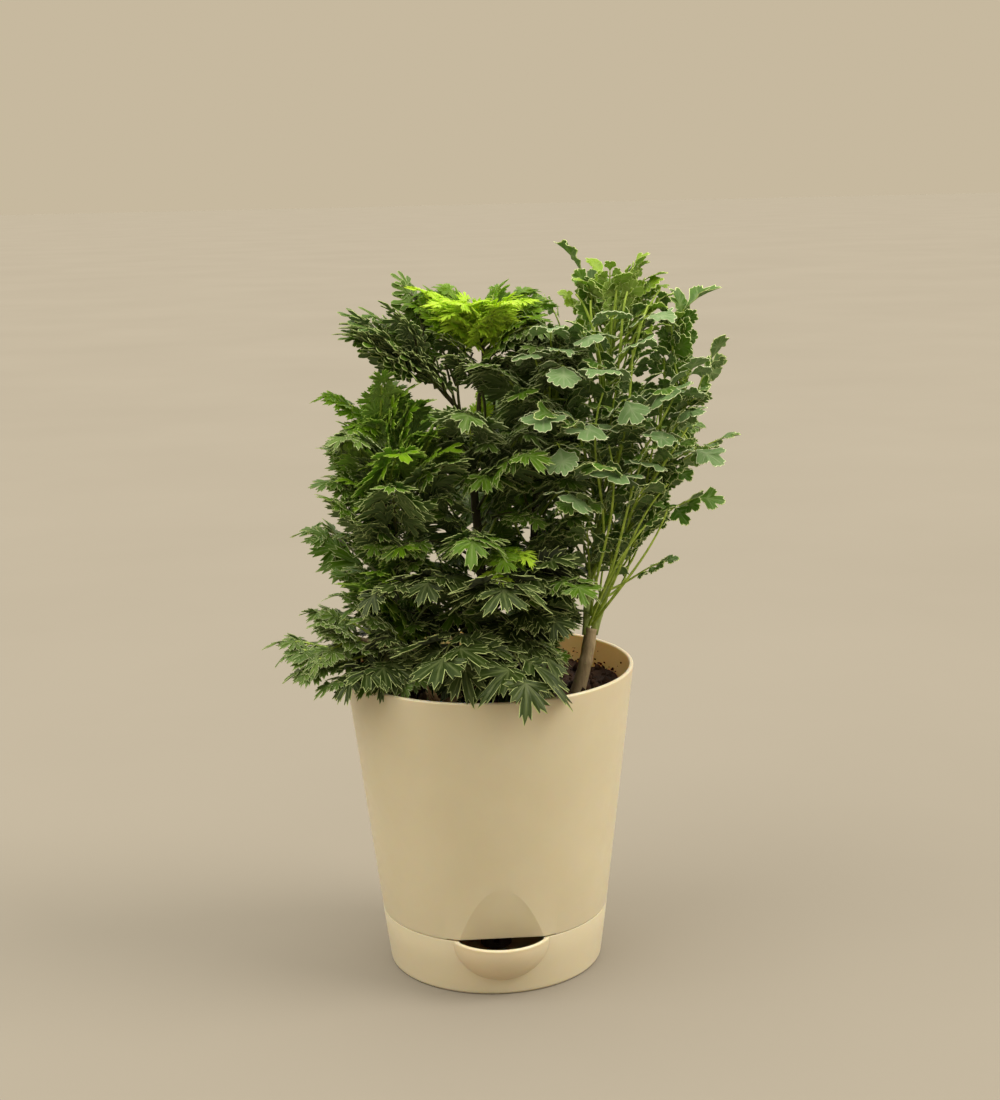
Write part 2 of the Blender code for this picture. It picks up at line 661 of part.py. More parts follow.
def leaf_mesh(curve, blade, kind, swell=0.0):
    """One closed leaf: a square stalk and midrib with flat leaflets grown from its sides.

    swell thickens the leaf, to test that it keeps clear of its neighbours.
    """
    shape = LEAF_KINDS[kind]
    samples = [curve_point(curve, index / CURVE_SAMPLES) for index in range(CURVE_SAMPLES + 1)]
    reach = sum((after - before).length for before, after in zip(samples, samples[1:]))
    blade_share = min(LONGEST_BLADE_SHARE, blade / reach)
    blade = blade_share * reach
    first = 1.0 - blade_share
    base_half = LEAFLET_BASE_HALF / reach
    thinned = RACHIS_HALF * STALK_THINNED
    places = [(0.0, STALK_HALF, STALK_HALF), (first * STALK_THINS_AT, thinned, thinned)]
    leaflet_spans = {}
    for number, share in enumerate(shape["stations"]):
        middle = first + blade_share * share
        leaflet_spans[len(places)] = number
        places.append((middle - base_half, RACHIS_HALF, RACHIS_HALF))
        places.append((middle + base_half, RACHIS_HALF, RACHIS_HALF))
    end_width = shape["end_half_width"] * blade
    places.append((first + blade_share * TERMINAL_START, RACHIS_HALF, BLADE_HALF_THICK))
    places.append((first + blade_share * TERMINAL_WIDEST, end_width, BLADE_HALF_THICK))
    places.append((1.0, end_width * TERMINAL_TIP_WIDTH, BLADE_HALF_THICK * TIP_THICKNESS))

    path = [curve_point(curve, t) for t, _, _ in places]
    directions = tangents(path)
    level = Vector((path[-1].x - path[0].x, path[-1].y - path[0].y, 0.0))
    sideways = level.cross(UP).normalized()
    bm = bmesh.new()
    rings = []
    frames = []
    for point, along, (_, half_width, half_thick) in zip(path, directions, places):
        lateral = (sideways - along * sideways.dot(along)).normalized()
        normal = lateral.cross(along).normalized()
        frames.append((along, lateral, normal))
        wide = lateral * (half_width + swell)
        thick = normal * (half_thick + swell)
        offsets = (wide + thick, thick - wide, -wide - thick, wide - thick)
        rings.append([bm.verts.new(point + offset) for offset in offsets])
    spans = joined_rings(bm, rings)
    for span, number in leaflet_spans.items():
        for face_index, side in ((1, -1.0), (3, 1.0)):
            length = shape["lengths"][number] * blade
            half_width = shape["half_width"] * blade
            face = spans[span][face_index]
            grow_leaflet(bm, face, frames[span], side, length, half_width, shape["lean"], swell)
    return bm


def grow_leaflet(bm, face, frame, side, length, half_width, lean_degrees, swell):
    """Extrudes one side face of the midrib into a flat leaflet, widest past its middle."""
    along, lateral, normal = frame
    lean = math.radians(lean_degrees)
    outward = lateral * (side * math.cos(lean)) + along * math.sin(lean) - normal * LEAFLET_DROOP
    start = face.calc_center_median()
    for reach, width, thick in ((LEAFLET_WIDEST, 1.0, 1.0), (1.0, LEAFLET_TIP_WIDTH, TIP_THICKNESS)):
        middle = face.calc_center_median()
        signs = {}
        face = bmesh.ops.extrude_discrete_faces(bm, faces=[face])["faces"][0]
        for vert in face.verts:
            offset = vert.co - middle
            signs[vert] = (math.copysign(1.0, offset.dot(along)), math.copysign(1.0, offset.dot(normal)))
        for vert, (ahead, above) in signs.items():
            half_thick = BLADE_HALF_THICK * thick + swell
            vert.co = (
                start + outward * length * reach
                + along * (ahead * (half_width * width + swell))
                + normal * (above * half_thick)
            )


def tip_tries(stem, height_mm, tip):
    """The leaf's own tip first, then tips turned and lifted by ever larger steps."""
    pivot, _, _ = stem.at_height(height_mm)
    tries = [(turn, lift) for turn in TURN_STEPS for lift in LIFT_STEPS]
    for turn, lift in sorted(tries, key=lambda item: abs(item[0]) / TURN_UNIT + abs(item[1]) / LIFT_UNIT):
        turned_tip = Matrix.Rotation(math.radians(turn), 3, "Z") @ (tip - pivot) + pivot
        yield turned_tip + UP * lift * MM


def in_watering_space(bm):
    """Whether any of the leaf's points lies in the space that is kept free for watering."""
    outer_x = inner_radius(SOIL_TOP)
    for vert in bm.verts:
        inside_x = outer_x - WATERING_WIDTH < vert.co.x < RIM_RADIUS
        inside_y = abs(vert.co.y - WATERING_CENTRE_Y) < WATERING_LENGTH / 2
        if inside_x and inside_y and vert.co.z < POT_HEIGHT + WATERING_ABOVE_RIM:
            return True
    return False


def place_leaf(stem, height_mm, tip, blade, kind, obstacles):
    """The first try that keeps clear of every obstacle, or the one that meets the fewest."""
    fewest = None
    for candidate in tip_tries(stem, height_mm, tip):
        curve = leaf_curve(stem, height_mm, candidate, LEAF_KINDS[kind]["droop"])
        swollen = leaf_mesh(curve, blade, kind, swell=GAP / 2)
        blocked = IN_THE_WAY if in_watering_space(swollen) else 0
        tree = BVHTree.FromBMesh(swollen)
        blocked += sum(len(tree.overlap(obstacle)) for obstacle in obstacles)
        swollen.free()
        if fewest is None or blocked < fewest[0]:
            fewest = (blocked, curve)
        if blocked == 0:
            break
    bm = leaf_mesh(fewest[1], blade, kind)
    obstacles.append(BVHTree.FromBMesh(bm))
    return bm


def make_leaves(stems, obstacles):
    """Every leaf in LEAVES, named after its stem and numbered up the list."""
    numbers = {}
    for stem_name, height_mm, tip_mm, blade_mm, kind, colour in LEAVES:
        numbers[stem_name] = numbers.get(stem_name, 0) + 1
        name = f"leaf_{stem_name.split('_', 1)[1]}_{numbers[stem_name]}"
        tip = Vector(tip_mm) * MM + UP * SOIL_TOP
        blade = blade_mm * MM * LEAF_SCALE
        bm = place_leaf(stems[stem_name], height_mm, tip, blade, kind, obstacles)
        object_from(name, bm, make_material(f"leaf_{colour[1]:.2f}", colour, 0.45, 0.1))


def main():
    for old in list(bpy.data.objects):
        bpy.data.objects.remove(old)
    stems = {row[0]: Stem(*row) for row in STEMS}
    solids = [make_pot_body(), make_reservoir_base(), make_wick_basket(), make_soil(stems)]
    solids += [stem.build() for stem in stems.values()]
    bpy.context.view_layer.update()
    depsgraph = bpy.context.evaluated_depsgraph_get()
    obstacles = [BVHTree.FromObject(solid, depsgraph) for solid in solids]
    make_leaves(stems, obstacles)


main()
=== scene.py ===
"""Potted aralia: the looks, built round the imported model.

Everything is in metres in the model's own frame: +Z up, the spout faces -Y. Pot and base
are rebuilt finer at the frame's sizes; stems, soil and leaves replace their plain solids.
Each leaf takes its place from its own solid: its stalk starts at the point nearest to its
stem and its tip is the solid's far end.
"""
import json
import math

import bmesh
import bpy
import numpy as np
from mathutils import Matrix, Vector, noise


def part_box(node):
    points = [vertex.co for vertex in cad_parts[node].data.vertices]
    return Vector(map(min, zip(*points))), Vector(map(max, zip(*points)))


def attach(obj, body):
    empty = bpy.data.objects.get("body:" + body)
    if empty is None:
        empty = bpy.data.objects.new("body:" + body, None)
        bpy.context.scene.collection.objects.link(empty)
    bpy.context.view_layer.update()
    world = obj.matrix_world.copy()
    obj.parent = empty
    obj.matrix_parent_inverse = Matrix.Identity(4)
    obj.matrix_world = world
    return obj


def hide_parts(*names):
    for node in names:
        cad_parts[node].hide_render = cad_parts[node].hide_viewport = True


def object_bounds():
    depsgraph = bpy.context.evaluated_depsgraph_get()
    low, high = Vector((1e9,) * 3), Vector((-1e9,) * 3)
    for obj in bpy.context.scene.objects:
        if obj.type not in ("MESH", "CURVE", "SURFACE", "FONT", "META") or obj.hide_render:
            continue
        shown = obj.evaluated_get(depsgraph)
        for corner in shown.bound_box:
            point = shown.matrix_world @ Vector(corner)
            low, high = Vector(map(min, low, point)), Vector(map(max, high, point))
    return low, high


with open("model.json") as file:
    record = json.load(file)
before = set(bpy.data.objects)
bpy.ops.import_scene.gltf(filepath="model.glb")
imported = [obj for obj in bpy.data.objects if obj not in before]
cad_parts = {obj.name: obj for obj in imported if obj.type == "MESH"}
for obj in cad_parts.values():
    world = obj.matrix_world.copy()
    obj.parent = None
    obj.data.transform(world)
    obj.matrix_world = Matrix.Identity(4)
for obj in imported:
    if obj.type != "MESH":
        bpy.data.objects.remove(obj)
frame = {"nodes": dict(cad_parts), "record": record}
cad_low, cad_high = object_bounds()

MM = 0.001
UP = Vector((0.0, 0.0, 1.0))
SEED = 20261

# ---------------------------------------------------------------- sizes

# Read from the frame.
pot_low, pot_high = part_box("pot_body")
base_low, base_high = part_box("reservoir_base")
RIM_RADIUS = pot_high.x
POT_HEIGHT = pot_high.z
SEAT_BOTTOM = base_high.z

# As in the model.
GAP = 0.3 * MM
POT_WALL = 1.9 * MM
RIM_ROUND = 0.8 * MM
POT_FLOOR = 2.0 * MM
POT_FLOOR_ABOVE_SEAM = 1.6 * MM
BASE_WALL = 2.0 * MM
BASE_FLOOR = 2.2 * MM
FOOT_ROUND = 1.5 * MM
SPIGOT_WALL = 1.8 * MM
SPOUT_RADIUS = 23.1 * MM
SPOUT_DEPTH = 21.5 * MM
SPOUT_WALL = 1.6 * MM
RECESS_HEIGHT = 25.0 * MM
RECESS_DEPTH = 3.5 * MM
MOUTH_RELIEF = 0.5 * MM
BASKET_RADIUS = 8.6 * MM
SOIL_BELOW_RIM = 13.1 * MM
SOIL_MOUND = 2.0 * MM
SOIL_BUMP = 0.7 * MM
STALK_HALF = 0.8 * MM
LEAF_DROOP = {"cut": 0.75, "round": 0.45}

# What follows from those.
SEAM_HEIGHT = SEAT_BOTTOM + GAP / 2
SEAT_TOP = SEAM_HEIGHT + GAP / 2
SEAM_SHARE = SEAT_BOTTOM / POT_HEIGHT
FOOT_RADIUS = (base_high.x - RIM_RADIUS * SEAM_SHARE) / (1.0 - SEAM_SHARE)
FLOOR_UNDERSIDE = SEAM_HEIGHT + POT_FLOOR_ABOVE_SEAM
FLOOR_TOP = FLOOR_UNDERSIDE + POT_FLOOR
SPIGOT_BOTTOM = pot_low.z
SOIL_TOP = POT_HEIGHT - SOIL_BELOW_RIM
OVERSHOOT = 5.0 * MM

# Fineness of the visual meshes.
POT_SIDES = 160
SPOUT_SIDES = 96
HOLE_SIDES = 48
ROUND_STEPS = 6
SEAM_ROUND = 0.25 * MM
POT_SMOOTH = 9.0
BASE_SMOOTH = 28.0
INSIDE_STEEPNESS = 0.5
LIP_BEAD = 0.88 * MM
LIP_STEPS = 72
LIP_SIDES = 16
LIP_HALF_TURN = math.radians(74.0)
STEM_SIDES = 14
STALK_SIDES = 6
STALK_STEPS = 14
STALK_ACROSS = Vector((0.3, 1.0, 0.2))
LEAF_THICKNESS = 0.24 * MM
LEAF_SMOOTH = math.radians(60.0)

LEFT, LOW_LEFT, CENTRE, MIDDLE = "stem_left", "stem_low_left", "stem_centre", "stem_middle"
TOP, TOP_LEFT, OUTER, UPRIGHT = "branch_top", "branch_top_left", "stem_right_outer", "stem_right_upright"

# Stems, as in the model: first and last radius in mm, then points in mm from the middle of
# the soil's surface.
STEMS = {
    "trunk_right": (3.2, 2.7, (38, -8, 0), (42, -7, 14), (45, -4, 28)),
    OUTER: (1.8, 1.1, (47.2, -3, 29), (53, 0, 46), (61, 4, 65), (73, 6, 91), (82, 4, 116), (88, 1, 134)),
    UPRIGHT: (1.7, 1.0, (42.9, -3.4, 29), (45, 2, 46), (49, 6, 65), (51, 8, 92), (54, 6, 127), (58, 0, 172)),
    CENTRE: (2.3, 1.6, (0, 0, 0), (-1, 5, 31), (-3, 5, 67), (-5, 5, 99), (-4, 5, 118)),
    TOP_LEFT: (1.1, 0.8, (-5.9, 4.6, 119), (-14, 2, 130), (-24, 0, 142), (-33, -2, 152)),
    TOP: (1.1, 0.8, (-2.5, 5.5, 119), (-1, 5, 130), (1, 5, 146), (0, 3, 160)),
    MIDDLE: (1.9, 1.0, (16, 10, 0), (20, 12, 38), (23, 12, 83), (29, 10, 114), (32, 8, 134)),
    LEFT: (2.0, 1.0, (-17, -5, 0), (-28, -8, 35), (-40, -8, 71), (-45, -6, 102), (-45, -4, 122)),
    LOW_LEFT: (1.5, 0.9, (-14, -19, 0), (-19, -20, 14), (-31, -25, 26), (-47, -25, 30), (-60, -22, 33)),
}
FROM_SOIL = ("trunk_right", CENTRE, MIDDLE, LEFT, LOW_LEFT)
PLANTING_DEPTH = 20.0 * MM
FORK_OVERLAP = 4.0 * MM


def clamp(value, low, high):
    return min(max(value, low), high)


def outer_radius(z):
    return FOOT_RADIUS + (RIM_RADIUS - FOOT_RADIUS) * z / POT_HEIGHT


def inner_radius(z):
    return outer_radius(z) - POT_WALL


SPIGOT_RADIUS = outer_radius(SPIGOT_BOTTOM) - BASE_WALL - GAP
SPOUT_REACH = -base_low.y - outer_radius(SEAM_HEIGHT)
SPOUT_CENTRE_Y = SPOUT_RADIUS - outer_radius(SEAM_HEIGHT) - SPOUT_REACH
NODE_SLOTS = {row["node"]: row["material_slot"] for row in frame["record"]["subparts"]}


# ---------------------------------------------------------------- node materials

class Nodes:
    """Short ways to add nodes to a material's or the world's tree."""

    def __init__(self, owner):
        owner.use_nodes = True
        self.tree = owner.node_tree

    def put(self, node, sockets):
        """Gives a node's input sockets their values, or links them to other nodes' outputs."""
        for name, value in sockets.items():
            if isinstance(value, bpy.types.NodeSocket):
                self.tree.links.new(value, node.inputs[name])
            else:
                node.inputs[name].default_value = value

    def add(self, kind, sockets, **settings):
        node = self.tree.nodes.new(f"ShaderNode{kind}")
        for name, value in settings.items():
            setattr(node, name, value)
        self.put(node, sockets)
        return node

    def remap(self, source, low, high, to_low=0.0, to_high=1.0):
        sockets = {"Value": source, "From Min": low, "From Max": high, "To Min": to_low, "To Max": to_high}
        return self.add("MapRange", sockets).outputs["Result"]

    def mix(self, factor, *colours):
        node = self.add("Mix", {"Factor": factor}, data_type="RGBA")
        places = [index for index, socket in enumerate(node.inputs) if socket.type == "RGBA"]
        values = [(*colour, 1.0) if isinstance(colour, tuple) else colour for colour in colours]
        self.put(node, dict(zip(places, values)))
        return next(socket for socket in node.outputs if socket.type == "RGBA")


class Shading(Nodes):
    """A new material with its Principled node, and the nodes that only materials use."""

    def __init__(self, name, sockets):
        self.material = bpy.data.materials.new(name)
        super().__init__(self.material)
        self.shader = self.tree.nodes["Principled BSDF"]
        self.put(self.shader, sockets)
        self.place = self.add("TexCoord", {}).outputs["Object"]

    def noise(self, scale, detail=4.0, roughness=0.55, stretch=(1.0, 1.0, 1.0)):
        mapping = self.add("Mapping", {"Scale": stretch, "Vector": self.place})
        return self.add("TexNoise", {
            "Scale": scale, "Detail": detail, "Roughness": roughness, "Vector": mapping.outputs["Vector"],
        }).outputs["Fac"]

    def marks(self):
        """The mesh's own marks: red is the margin, green the rib, blue the leaflet's tone."""
        attribute = self.add("Attribute", {}, attribute_name="marks")
        parts = self.add("SeparateColor", {"Color": attribute.outputs["Color"]})
        return parts.outputs["Red"], parts.outputs["Green"], parts.outputs["Blue"]

    def math(self, operation, first, second):
        return self.add("Math", {0: first, 1: second}, operation=operation).outputs["Value"]

    def bump(self, height, distance, strength=1.0, after=None):
        sockets = {"Distance": distance, "Strength": strength, "Height": height}
        if after:
            sockets["Normal"] = after
        return self.add("Bump", sockets).outputs["Normal"]

    def finish(self, colour, roughness, **others):
        self.put(self.shader, {"Base Color": colour, "Roughness": roughness, **others})
        return self.material


def plastic_material(name, light, shade):
    """Moulded cream plastic: a faint mottle, a satin skin and a very fine grain."""
    look = Shading(name, {
        "Roughness": 0.42, "Coat Weight": 0.06, "Subsurface Weight": 0.35,
        "Subsurface Radius": (0.007, 0.0035, 0.0012), "Subsurface Scale": 1.0,
    })
    mottle = look.noise(38.0, 5.0)
    streaks = look.noise(60.0, 3.0, 0.5, (1.0, 1.0, 0.12))
    blend = look.math("MULTIPLY", look.remap(mottle, 0.3, 0.7), look.remap(streaks, 0.25, 0.75, 0.5, 1.0))
    scuffs = look.noise(220.0, 6.0, 0.7)
    grain = look.bump(look.noise(2600.0, 2.0), 0.00003, 0.5)
    return look.finish(look.mix(blend, shade, light), look.remap(scuffs, 0.35, 0.75, 0.36, 0.52),
                       Normal=look.bump(mottle, 0.0004, 0.25, grain))


def dark_plastic_material():
    """The wick basket's near-black plastic."""
    look = Shading("basket_plastic", {"Roughness": 0.5})
    mottle = look.noise(160.0, 4.0)
    colour = look.mix(mottle, (0.012, 0.010, 0.008), (0.045, 0.036, 0.028))
    grain = look.bump(look.noise(1800.0, 3.0), 0.00006, 0.6)
    return look.finish(colour, look.remap(mottle, 0.3, 0.7, 0.4, 0.65), Normal=grain)


def soil_material():
    """Damp potting mix: near black, with browner fibres and a fine crumb."""
    look = Shading("potting_soil", {"Roughness": 0.9, "Specular IOR Level": 0.15})
    patches = look.noise(90.0, 6.0, 0.7)
    fibres = look.noise(700.0, 5.0, 0.7, (1.0, 0.35, 1.0))
    colour = look.mix(look.remap(patches, 0.35, 0.7), (0.012, 0.0055, 0.0025), (0.060, 0.027, 0.012))
    colour = look.mix(look.remap(fibres, 0.6, 0.74), colour, (0.10, 0.05, 0.024))
    crumbs = look.bump(look.noise(1500.0, 6.0, 0.75), 0.0005, 0.9)
    return look.finish(colour, look.remap(patches, 0.3, 0.7, 0.75, 0.98), Normal=crumbs)


def bark_material(name, dark, light, young):
    """Young bark: long cracks, pale lenticels and a green tinge where it is smooth."""
    look = Shading(name, {"Roughness": 0.7})
    cracks = look.noise(260.0, 6.0, 0.65, (1.0, 1.0, 0.18))
    spots = look.noise(520.0, 3.0, 0.5)
    colour = look.mix(look.remap(cracks, 0.35, 0.68), dark, light)
    colour = look.mix(look.remap(spots, 0.62, 0.72), colour, young)
    normal = look.bump(spots, 0.0002, 0.5, look.bump(cracks, 0.0005, 0.8))
    return look.finish(colour, look.remap(cracks, 0.3, 0.7, 0.55, 0.85), Normal=normal)


def leaf_material(name, deep, fresh, margin, glow, roughness, margin_from, translucency):
    """Leaf tissue: tone by leaflet, lighter ribs, a pale margin, and light through it."""
    look = Shading(name, {
        "Roughness": roughness, "Specular IOR Level": 0.26, "Specular Tint": (1.0, 0.97, 0.78, 1.0)})
    edge, rib, tone = look.marks()
    blotches = look.noise(240.0, 4.0)
    toned = look.math("ADD", look.math("MULTIPLY", tone, 0.75), look.remap(blotches, 0.3, 0.7, 0.0, 0.3))
    colour = look.mix(toned, deep, fresh)
    colour = look.mix(look.math("MULTIPLY", rib, 0.2), colour, margin)
    ragged = look.math("ADD", edge, look.remap(look.noise(900.0, 3.0), 0.2, 0.8, -0.1, 0.1))
    ragged = look.math("ADD", ragged, look.remap(look.noise(170.0, 2.0), 0.3, 0.7, -0.22, 0.12))
    pale = look.remap(ragged, margin_from, margin_from + 0.16)
    veins = look.bump(look.noise(1300.0, 4.0, 0.6), 0.00012, 0.6)
    material = look.finish(
        look.mix(pale, colour, margin), look.remap(blotches, 0.3, 0.7, roughness - 0.07, roughness + 0.1),
        Normal=look.bump(rib, 0.0004, 0.5, veins))
    light = look.mix(look.remap(pale, 0.0, 1.0, 0.0, 0.6), glow, margin)
    through = look.add("BsdfTranslucent", {"Color": light})
    blend = look.add("MixShader", {
        "Fac": translucency, 1: look.shader.outputs["BSDF"], 2: through.outputs["BSDF"]})
    look.put(look.tree.nodes["Material Output"], {"Surface": blend.outputs["Shader"]})
    return material


def leaf_pair(look, stalk, deep, fresh, margin, glow, roughness, *rest):
    """A leaf's three materials: its top, its paler and duller underside, and its stalk."""
    under_deep = tuple(0.7 * tone + 0.05 for tone in deep)
    under_fresh = tuple(0.75 * tone + 0.05 for tone in fresh)
    top = leaf_material(f"{look}_top", deep, fresh, margin, glow, roughness, *rest)
    under = leaf_material(f"{look}_under", under_deep, under_fresh, margin, glow, roughness + 0.15, *rest)
    return top, under, stalk


def stalk_material(name, low, high):
    """Leaf stalks: long patches of two tones under a fine grain."""
    look = Shading(name, {"Roughness": 0.5})
    fine = look.noise(1400.0, 3.0)
    colour = look.mix(look.remap(look.noise(300.0, 3.0), 0.35, 0.65), low, high)
    return look.finish(colour, look.remap(fine, 0.3, 0.7, 0.4, 0.6), Normal=look.bump(fine, 0.0001, 0.6))


FLOOR_SHADE = (0.250, 0.221, 0.174)
FLOOR_LIGHT = (0.263, 0.233, 0.184)


def floor_material():
    """Plain matt paper with very faint clouds."""
    look = Shading("studio_floor", {"Roughness": 0.8, "Specular IOR Level": 0.0})
    clouds = look.remap(look.noise(2.2, 4.0), 0.3, 0.7)
    return look.finish(look.mix(clouds, FLOOR_SHADE, FLOOR_LIGHT), look.remap(clouds, 0.0, 1.0, 0.7, 0.85))


# ---------------------------------------------------------------- mesh helpers

def linked(name, data):
    thing = bpy.data.objects.new(name, data)
    bpy.context.scene.collection.objects.link(thing)
    return thing


def mesh_from(name, bm, *materials):
    mesh = bpy.data.meshes.new(name)
    bm.to_mesh(mesh)
    bm.free()
    for material in materials:
        mesh.materials.append(material)
    return mesh


def show_mesh(name, mesh, slot_name, *nodes):
    """Links a mesh as a piece that rides on the part and stands for these nodes."""
    piece = linked(name, mesh)
    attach(piece, "root")
    if nodes:
        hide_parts(*nodes)


def temporary(name, bm):
    """A helper object that only takes part in a Boolean and is removed after it."""
    bmesh.ops.recalc_face_normals(bm, faces=bm.faces)
    return linked(name, mesh_from(name, bm))


def combine(piece, operation, *others):
    for other in others:
        modifier = piece.modifiers.new(other.name, "BOOLEAN")
        modifier.operation = operation
        modifier.solver = "EXACT"
        modifier.object = other


def baked(name, helper, material, smooth_degrees):
    """The helper's mesh with its Booleans done, shaded smooth up to an angle."""
    bpy.context.view_layer.update()
    depsgraph = bpy.context.evaluated_depsgraph_get()
    mesh = bpy.data.meshes.new_from_object(helper.evaluated_get(depsgraph))
    mesh.name = name
    mesh.materials.clear()
    mesh.materials.append(material)
    mesh.polygons.foreach_set("material_index", np.zeros(len(mesh.polygons), np.int32))
    mesh.shade_smooth()
    mesh.set_sharp_from_angle(angle=math.radians(smooth_degrees))
    return mesh


def arc(centre_r, centre_z, radius, start_degrees, end_degrees, steps=ROUND_STEPS):
    angles = np.radians(np.linspace(start_degrees, end_degrees, steps + 1))
    return [(centre_r + radius * math.cos(a), centre_z + radius * math.sin(a)) for a in angles]


def angles_round(sides):
    return [2.0 * math.pi * side / sides for side in range(sides)]


def turned(profile, sides=POT_SIDES):
    """A solid of revolution about Z; the profile starts and ends on the axis."""
    bm = bmesh.new()
    rings = []
    for radius, height in profile:
        if radius <= 0.0:
            rings.append([bm.verts.new((0.0, 0.0, height))] * sides)
            continue
        rings.append([bm.verts.new((radius * math.cos(angle), radius * math.sin(angle), height))
                      for angle in angles_round(sides)])
    for lower, upper in zip(rings, rings[1:]):
        for side in range(sides):
            after = (side + 1) % sides
            corners = (lower[side], lower[after], upper[after], upper[side])
            bm.faces.new(tuple(dict.fromkeys(corners)))
    return bm


def drum(low_radius, low, high_radius, high, sides=POT_SIDES):
    return turned([(0.0, low), (low_radius, low), (high_radius, high), (0.0, high)], sides)


def block(low, high):
    bm = bmesh.new()
    low, high = Vector(low), Vector(high)
    place = Matrix.Translation((low + high) / 2) @ Matrix.Diagonal((*(high - low), 1.0))
    bmesh.ops.create_cube(bm, size=1.0, matrix=place)
    return bm


def bowl(wall):
    """The spout's outer or inner skin, a squashed sphere cut off later at the base's top."""
    bm = bmesh.new()
    bmesh.ops.create_uvsphere(bm, u_segments=SPOUT_SIDES, v_segments=SPOUT_SIDES // 2, radius=1.0)
    across = SPOUT_RADIUS - wall
    bmesh.ops.scale(bm, verts=bm.verts, vec=(across, across, SPOUT_DEPTH - wall))
    bmesh.ops.translate(bm, verts=bm.verts, vec=(0.0, SPOUT_CENTRE_Y, SEAT_BOTTOM))
    return bm


def wedge(inset):
    """The space in front of the pot's flat recess; inset moves its face towards the axis."""
    foot_y = -(outer_radius(SEAM_HEIGHT) - RECESS_DEPTH)
    apex_y = -outer_radius(SEAM_HEIGHT + RECESS_HEIGHT)
    lean = (apex_y - foot_y) / RECESS_HEIGHT
    inset_y = inset * math.hypot(1.0, lean)
    low_z = SPIGOT_BOTTOM - OVERSHOOT
    high_z = SEAM_HEIGHT + 2.0 * RECESS_HEIGHT
    front_y = -(RIM_RADIUS + OVERSHOOT + RECESS_HEIGHT)
    half_width = outer_radius(SEAM_HEIGHT)
    bm = bmesh.new()
    outline = (
        (foot_y + lean * (low_z - SEAM_HEIGHT) + inset_y, low_z),
        (foot_y + lean * (high_z - SEAM_HEIGHT) + inset_y, high_z),
        (front_y, high_z),
        (front_y, low_z),
    )
    face = bm.faces.new([bm.verts.new((-half_width, y, z)) for y, z in outline])
    grown = bmesh.ops.extrude_face_region(bm, geom=[face])["geom"]
    moved = [item for item in grown if isinstance(item, bmesh.types.BMVert)]
    bmesh.ops.translate(bm, verts=moved, vec=(2.0 * half_width, 0.0, 0.0))
    return bm


# ---------------------------------------------------------------- pot and base

def make_pot(material, painted_inside_light_material):
    """The tapered pot, finely turned, with its flat recess, floor and spigot."""
    profile = [
        (0.0, SPIGOT_BOTTOM),
        (SPIGOT_RADIUS - RIM_ROUND, SPIGOT_BOTTOM),
        (SPIGOT_RADIUS, SPIGOT_BOTTOM + RIM_ROUND),
        (SPIGOT_RADIUS, SEAT_TOP),
    ]
    profile += arc(outer_radius(SEAT_TOP) - SEAM_ROUND, SEAT_TOP + SEAM_ROUND, SEAM_ROUND, -90.0, 0.0, 3)
    for share in (0.25, 0.5, 0.75):
        z = SEAT_TOP + (POT_HEIGHT - SEAT_TOP) * share
        profile.append((outer_radius(z), z))
    profile += arc(RIM_RADIUS - RIM_ROUND, POT_HEIGHT - RIM_ROUND, RIM_ROUND, 0.0, 90.0)
    profile.append((0.0, POT_HEIGHT))
    pot = temporary("pot_blank", turned(profile))

    top_inner = inner_radius(POT_HEIGHT)
    inside = [(0.0, FLOOR_TOP), (inner_radius(FLOOR_TOP), FLOOR_TOP)]
    inside += arc(top_inner + RIM_ROUND, POT_HEIGHT - RIM_ROUND, RIM_ROUND, 180.0, 90.0)
    inside += [(top_inner + RIM_ROUND, POT_HEIGHT + OVERSHOOT), (0.0, POT_HEIGHT + OVERSHOOT)]
    cavity = temporary("cavity", turned(inside))
    inner_wedge = temporary("inner_wedge", wedge(POT_WALL))
    combine(cavity, "DIFFERENCE", inner_wedge)
    under_radius = SPIGOT_RADIUS - SPIGOT_WALL
    under = temporary("under", drum(
        under_radius, SPIGOT_BOTTOM - OVERSHOOT, under_radius, FLOOR_UNDERSIDE))
    hole_radius = BASKET_RADIUS + GAP
    hole = temporary("hole", drum(
        hole_radius, SPIGOT_BOTTOM, hole_radius, FLOOR_TOP + OVERSHOOT, HOLE_SIDES))
    mouth_half = SPOUT_RADIUS + GAP
    mouth = temporary("mouth", block(
        (-mouth_half, -(SPIGOT_RADIUS + OVERSHOOT), SPIGOT_BOTTOM - OVERSHOOT),
        (mouth_half, SPOUT_CENTRE_Y, SEAT_TOP + MOUTH_RELIEF),
    ))
    outer_wedge = temporary("outer_wedge", wedge(0.0))
    combine(pot, "DIFFERENCE", outer_wedge, cavity, under, hole, mouth)
    mesh = baked("pot_shell", pot, material, POT_SMOOTH)
    mesh.materials.append(painted_inside_light_material)
    # Faces of the inside wall above the floor take the yellower copy of the cream, a painted warm light for
    # the pot's shaded inside.
    for face in mesh.polygons:
        outward = face.normal.x * face.center.x + face.normal.y * face.center.y
        if face.center.z > FLOOR_TOP and outward < 0.0 and abs(face.normal.z) < INSIDE_STEEPNESS:
            face.material_index = 1
    for helper in (pot, cavity, inner_wedge, under, hole, mouth, outer_wedge):
        bpy.data.objects.remove(helper)
    show_mesh("pot_shell", mesh, "cream_plastic", "pot_body")


def ring_points(middle, across, third, radius, sides):
    return [middle + radius * (across * math.cos(angle) + third * math.sin(angle))
            for angle in angles_round(sides)]


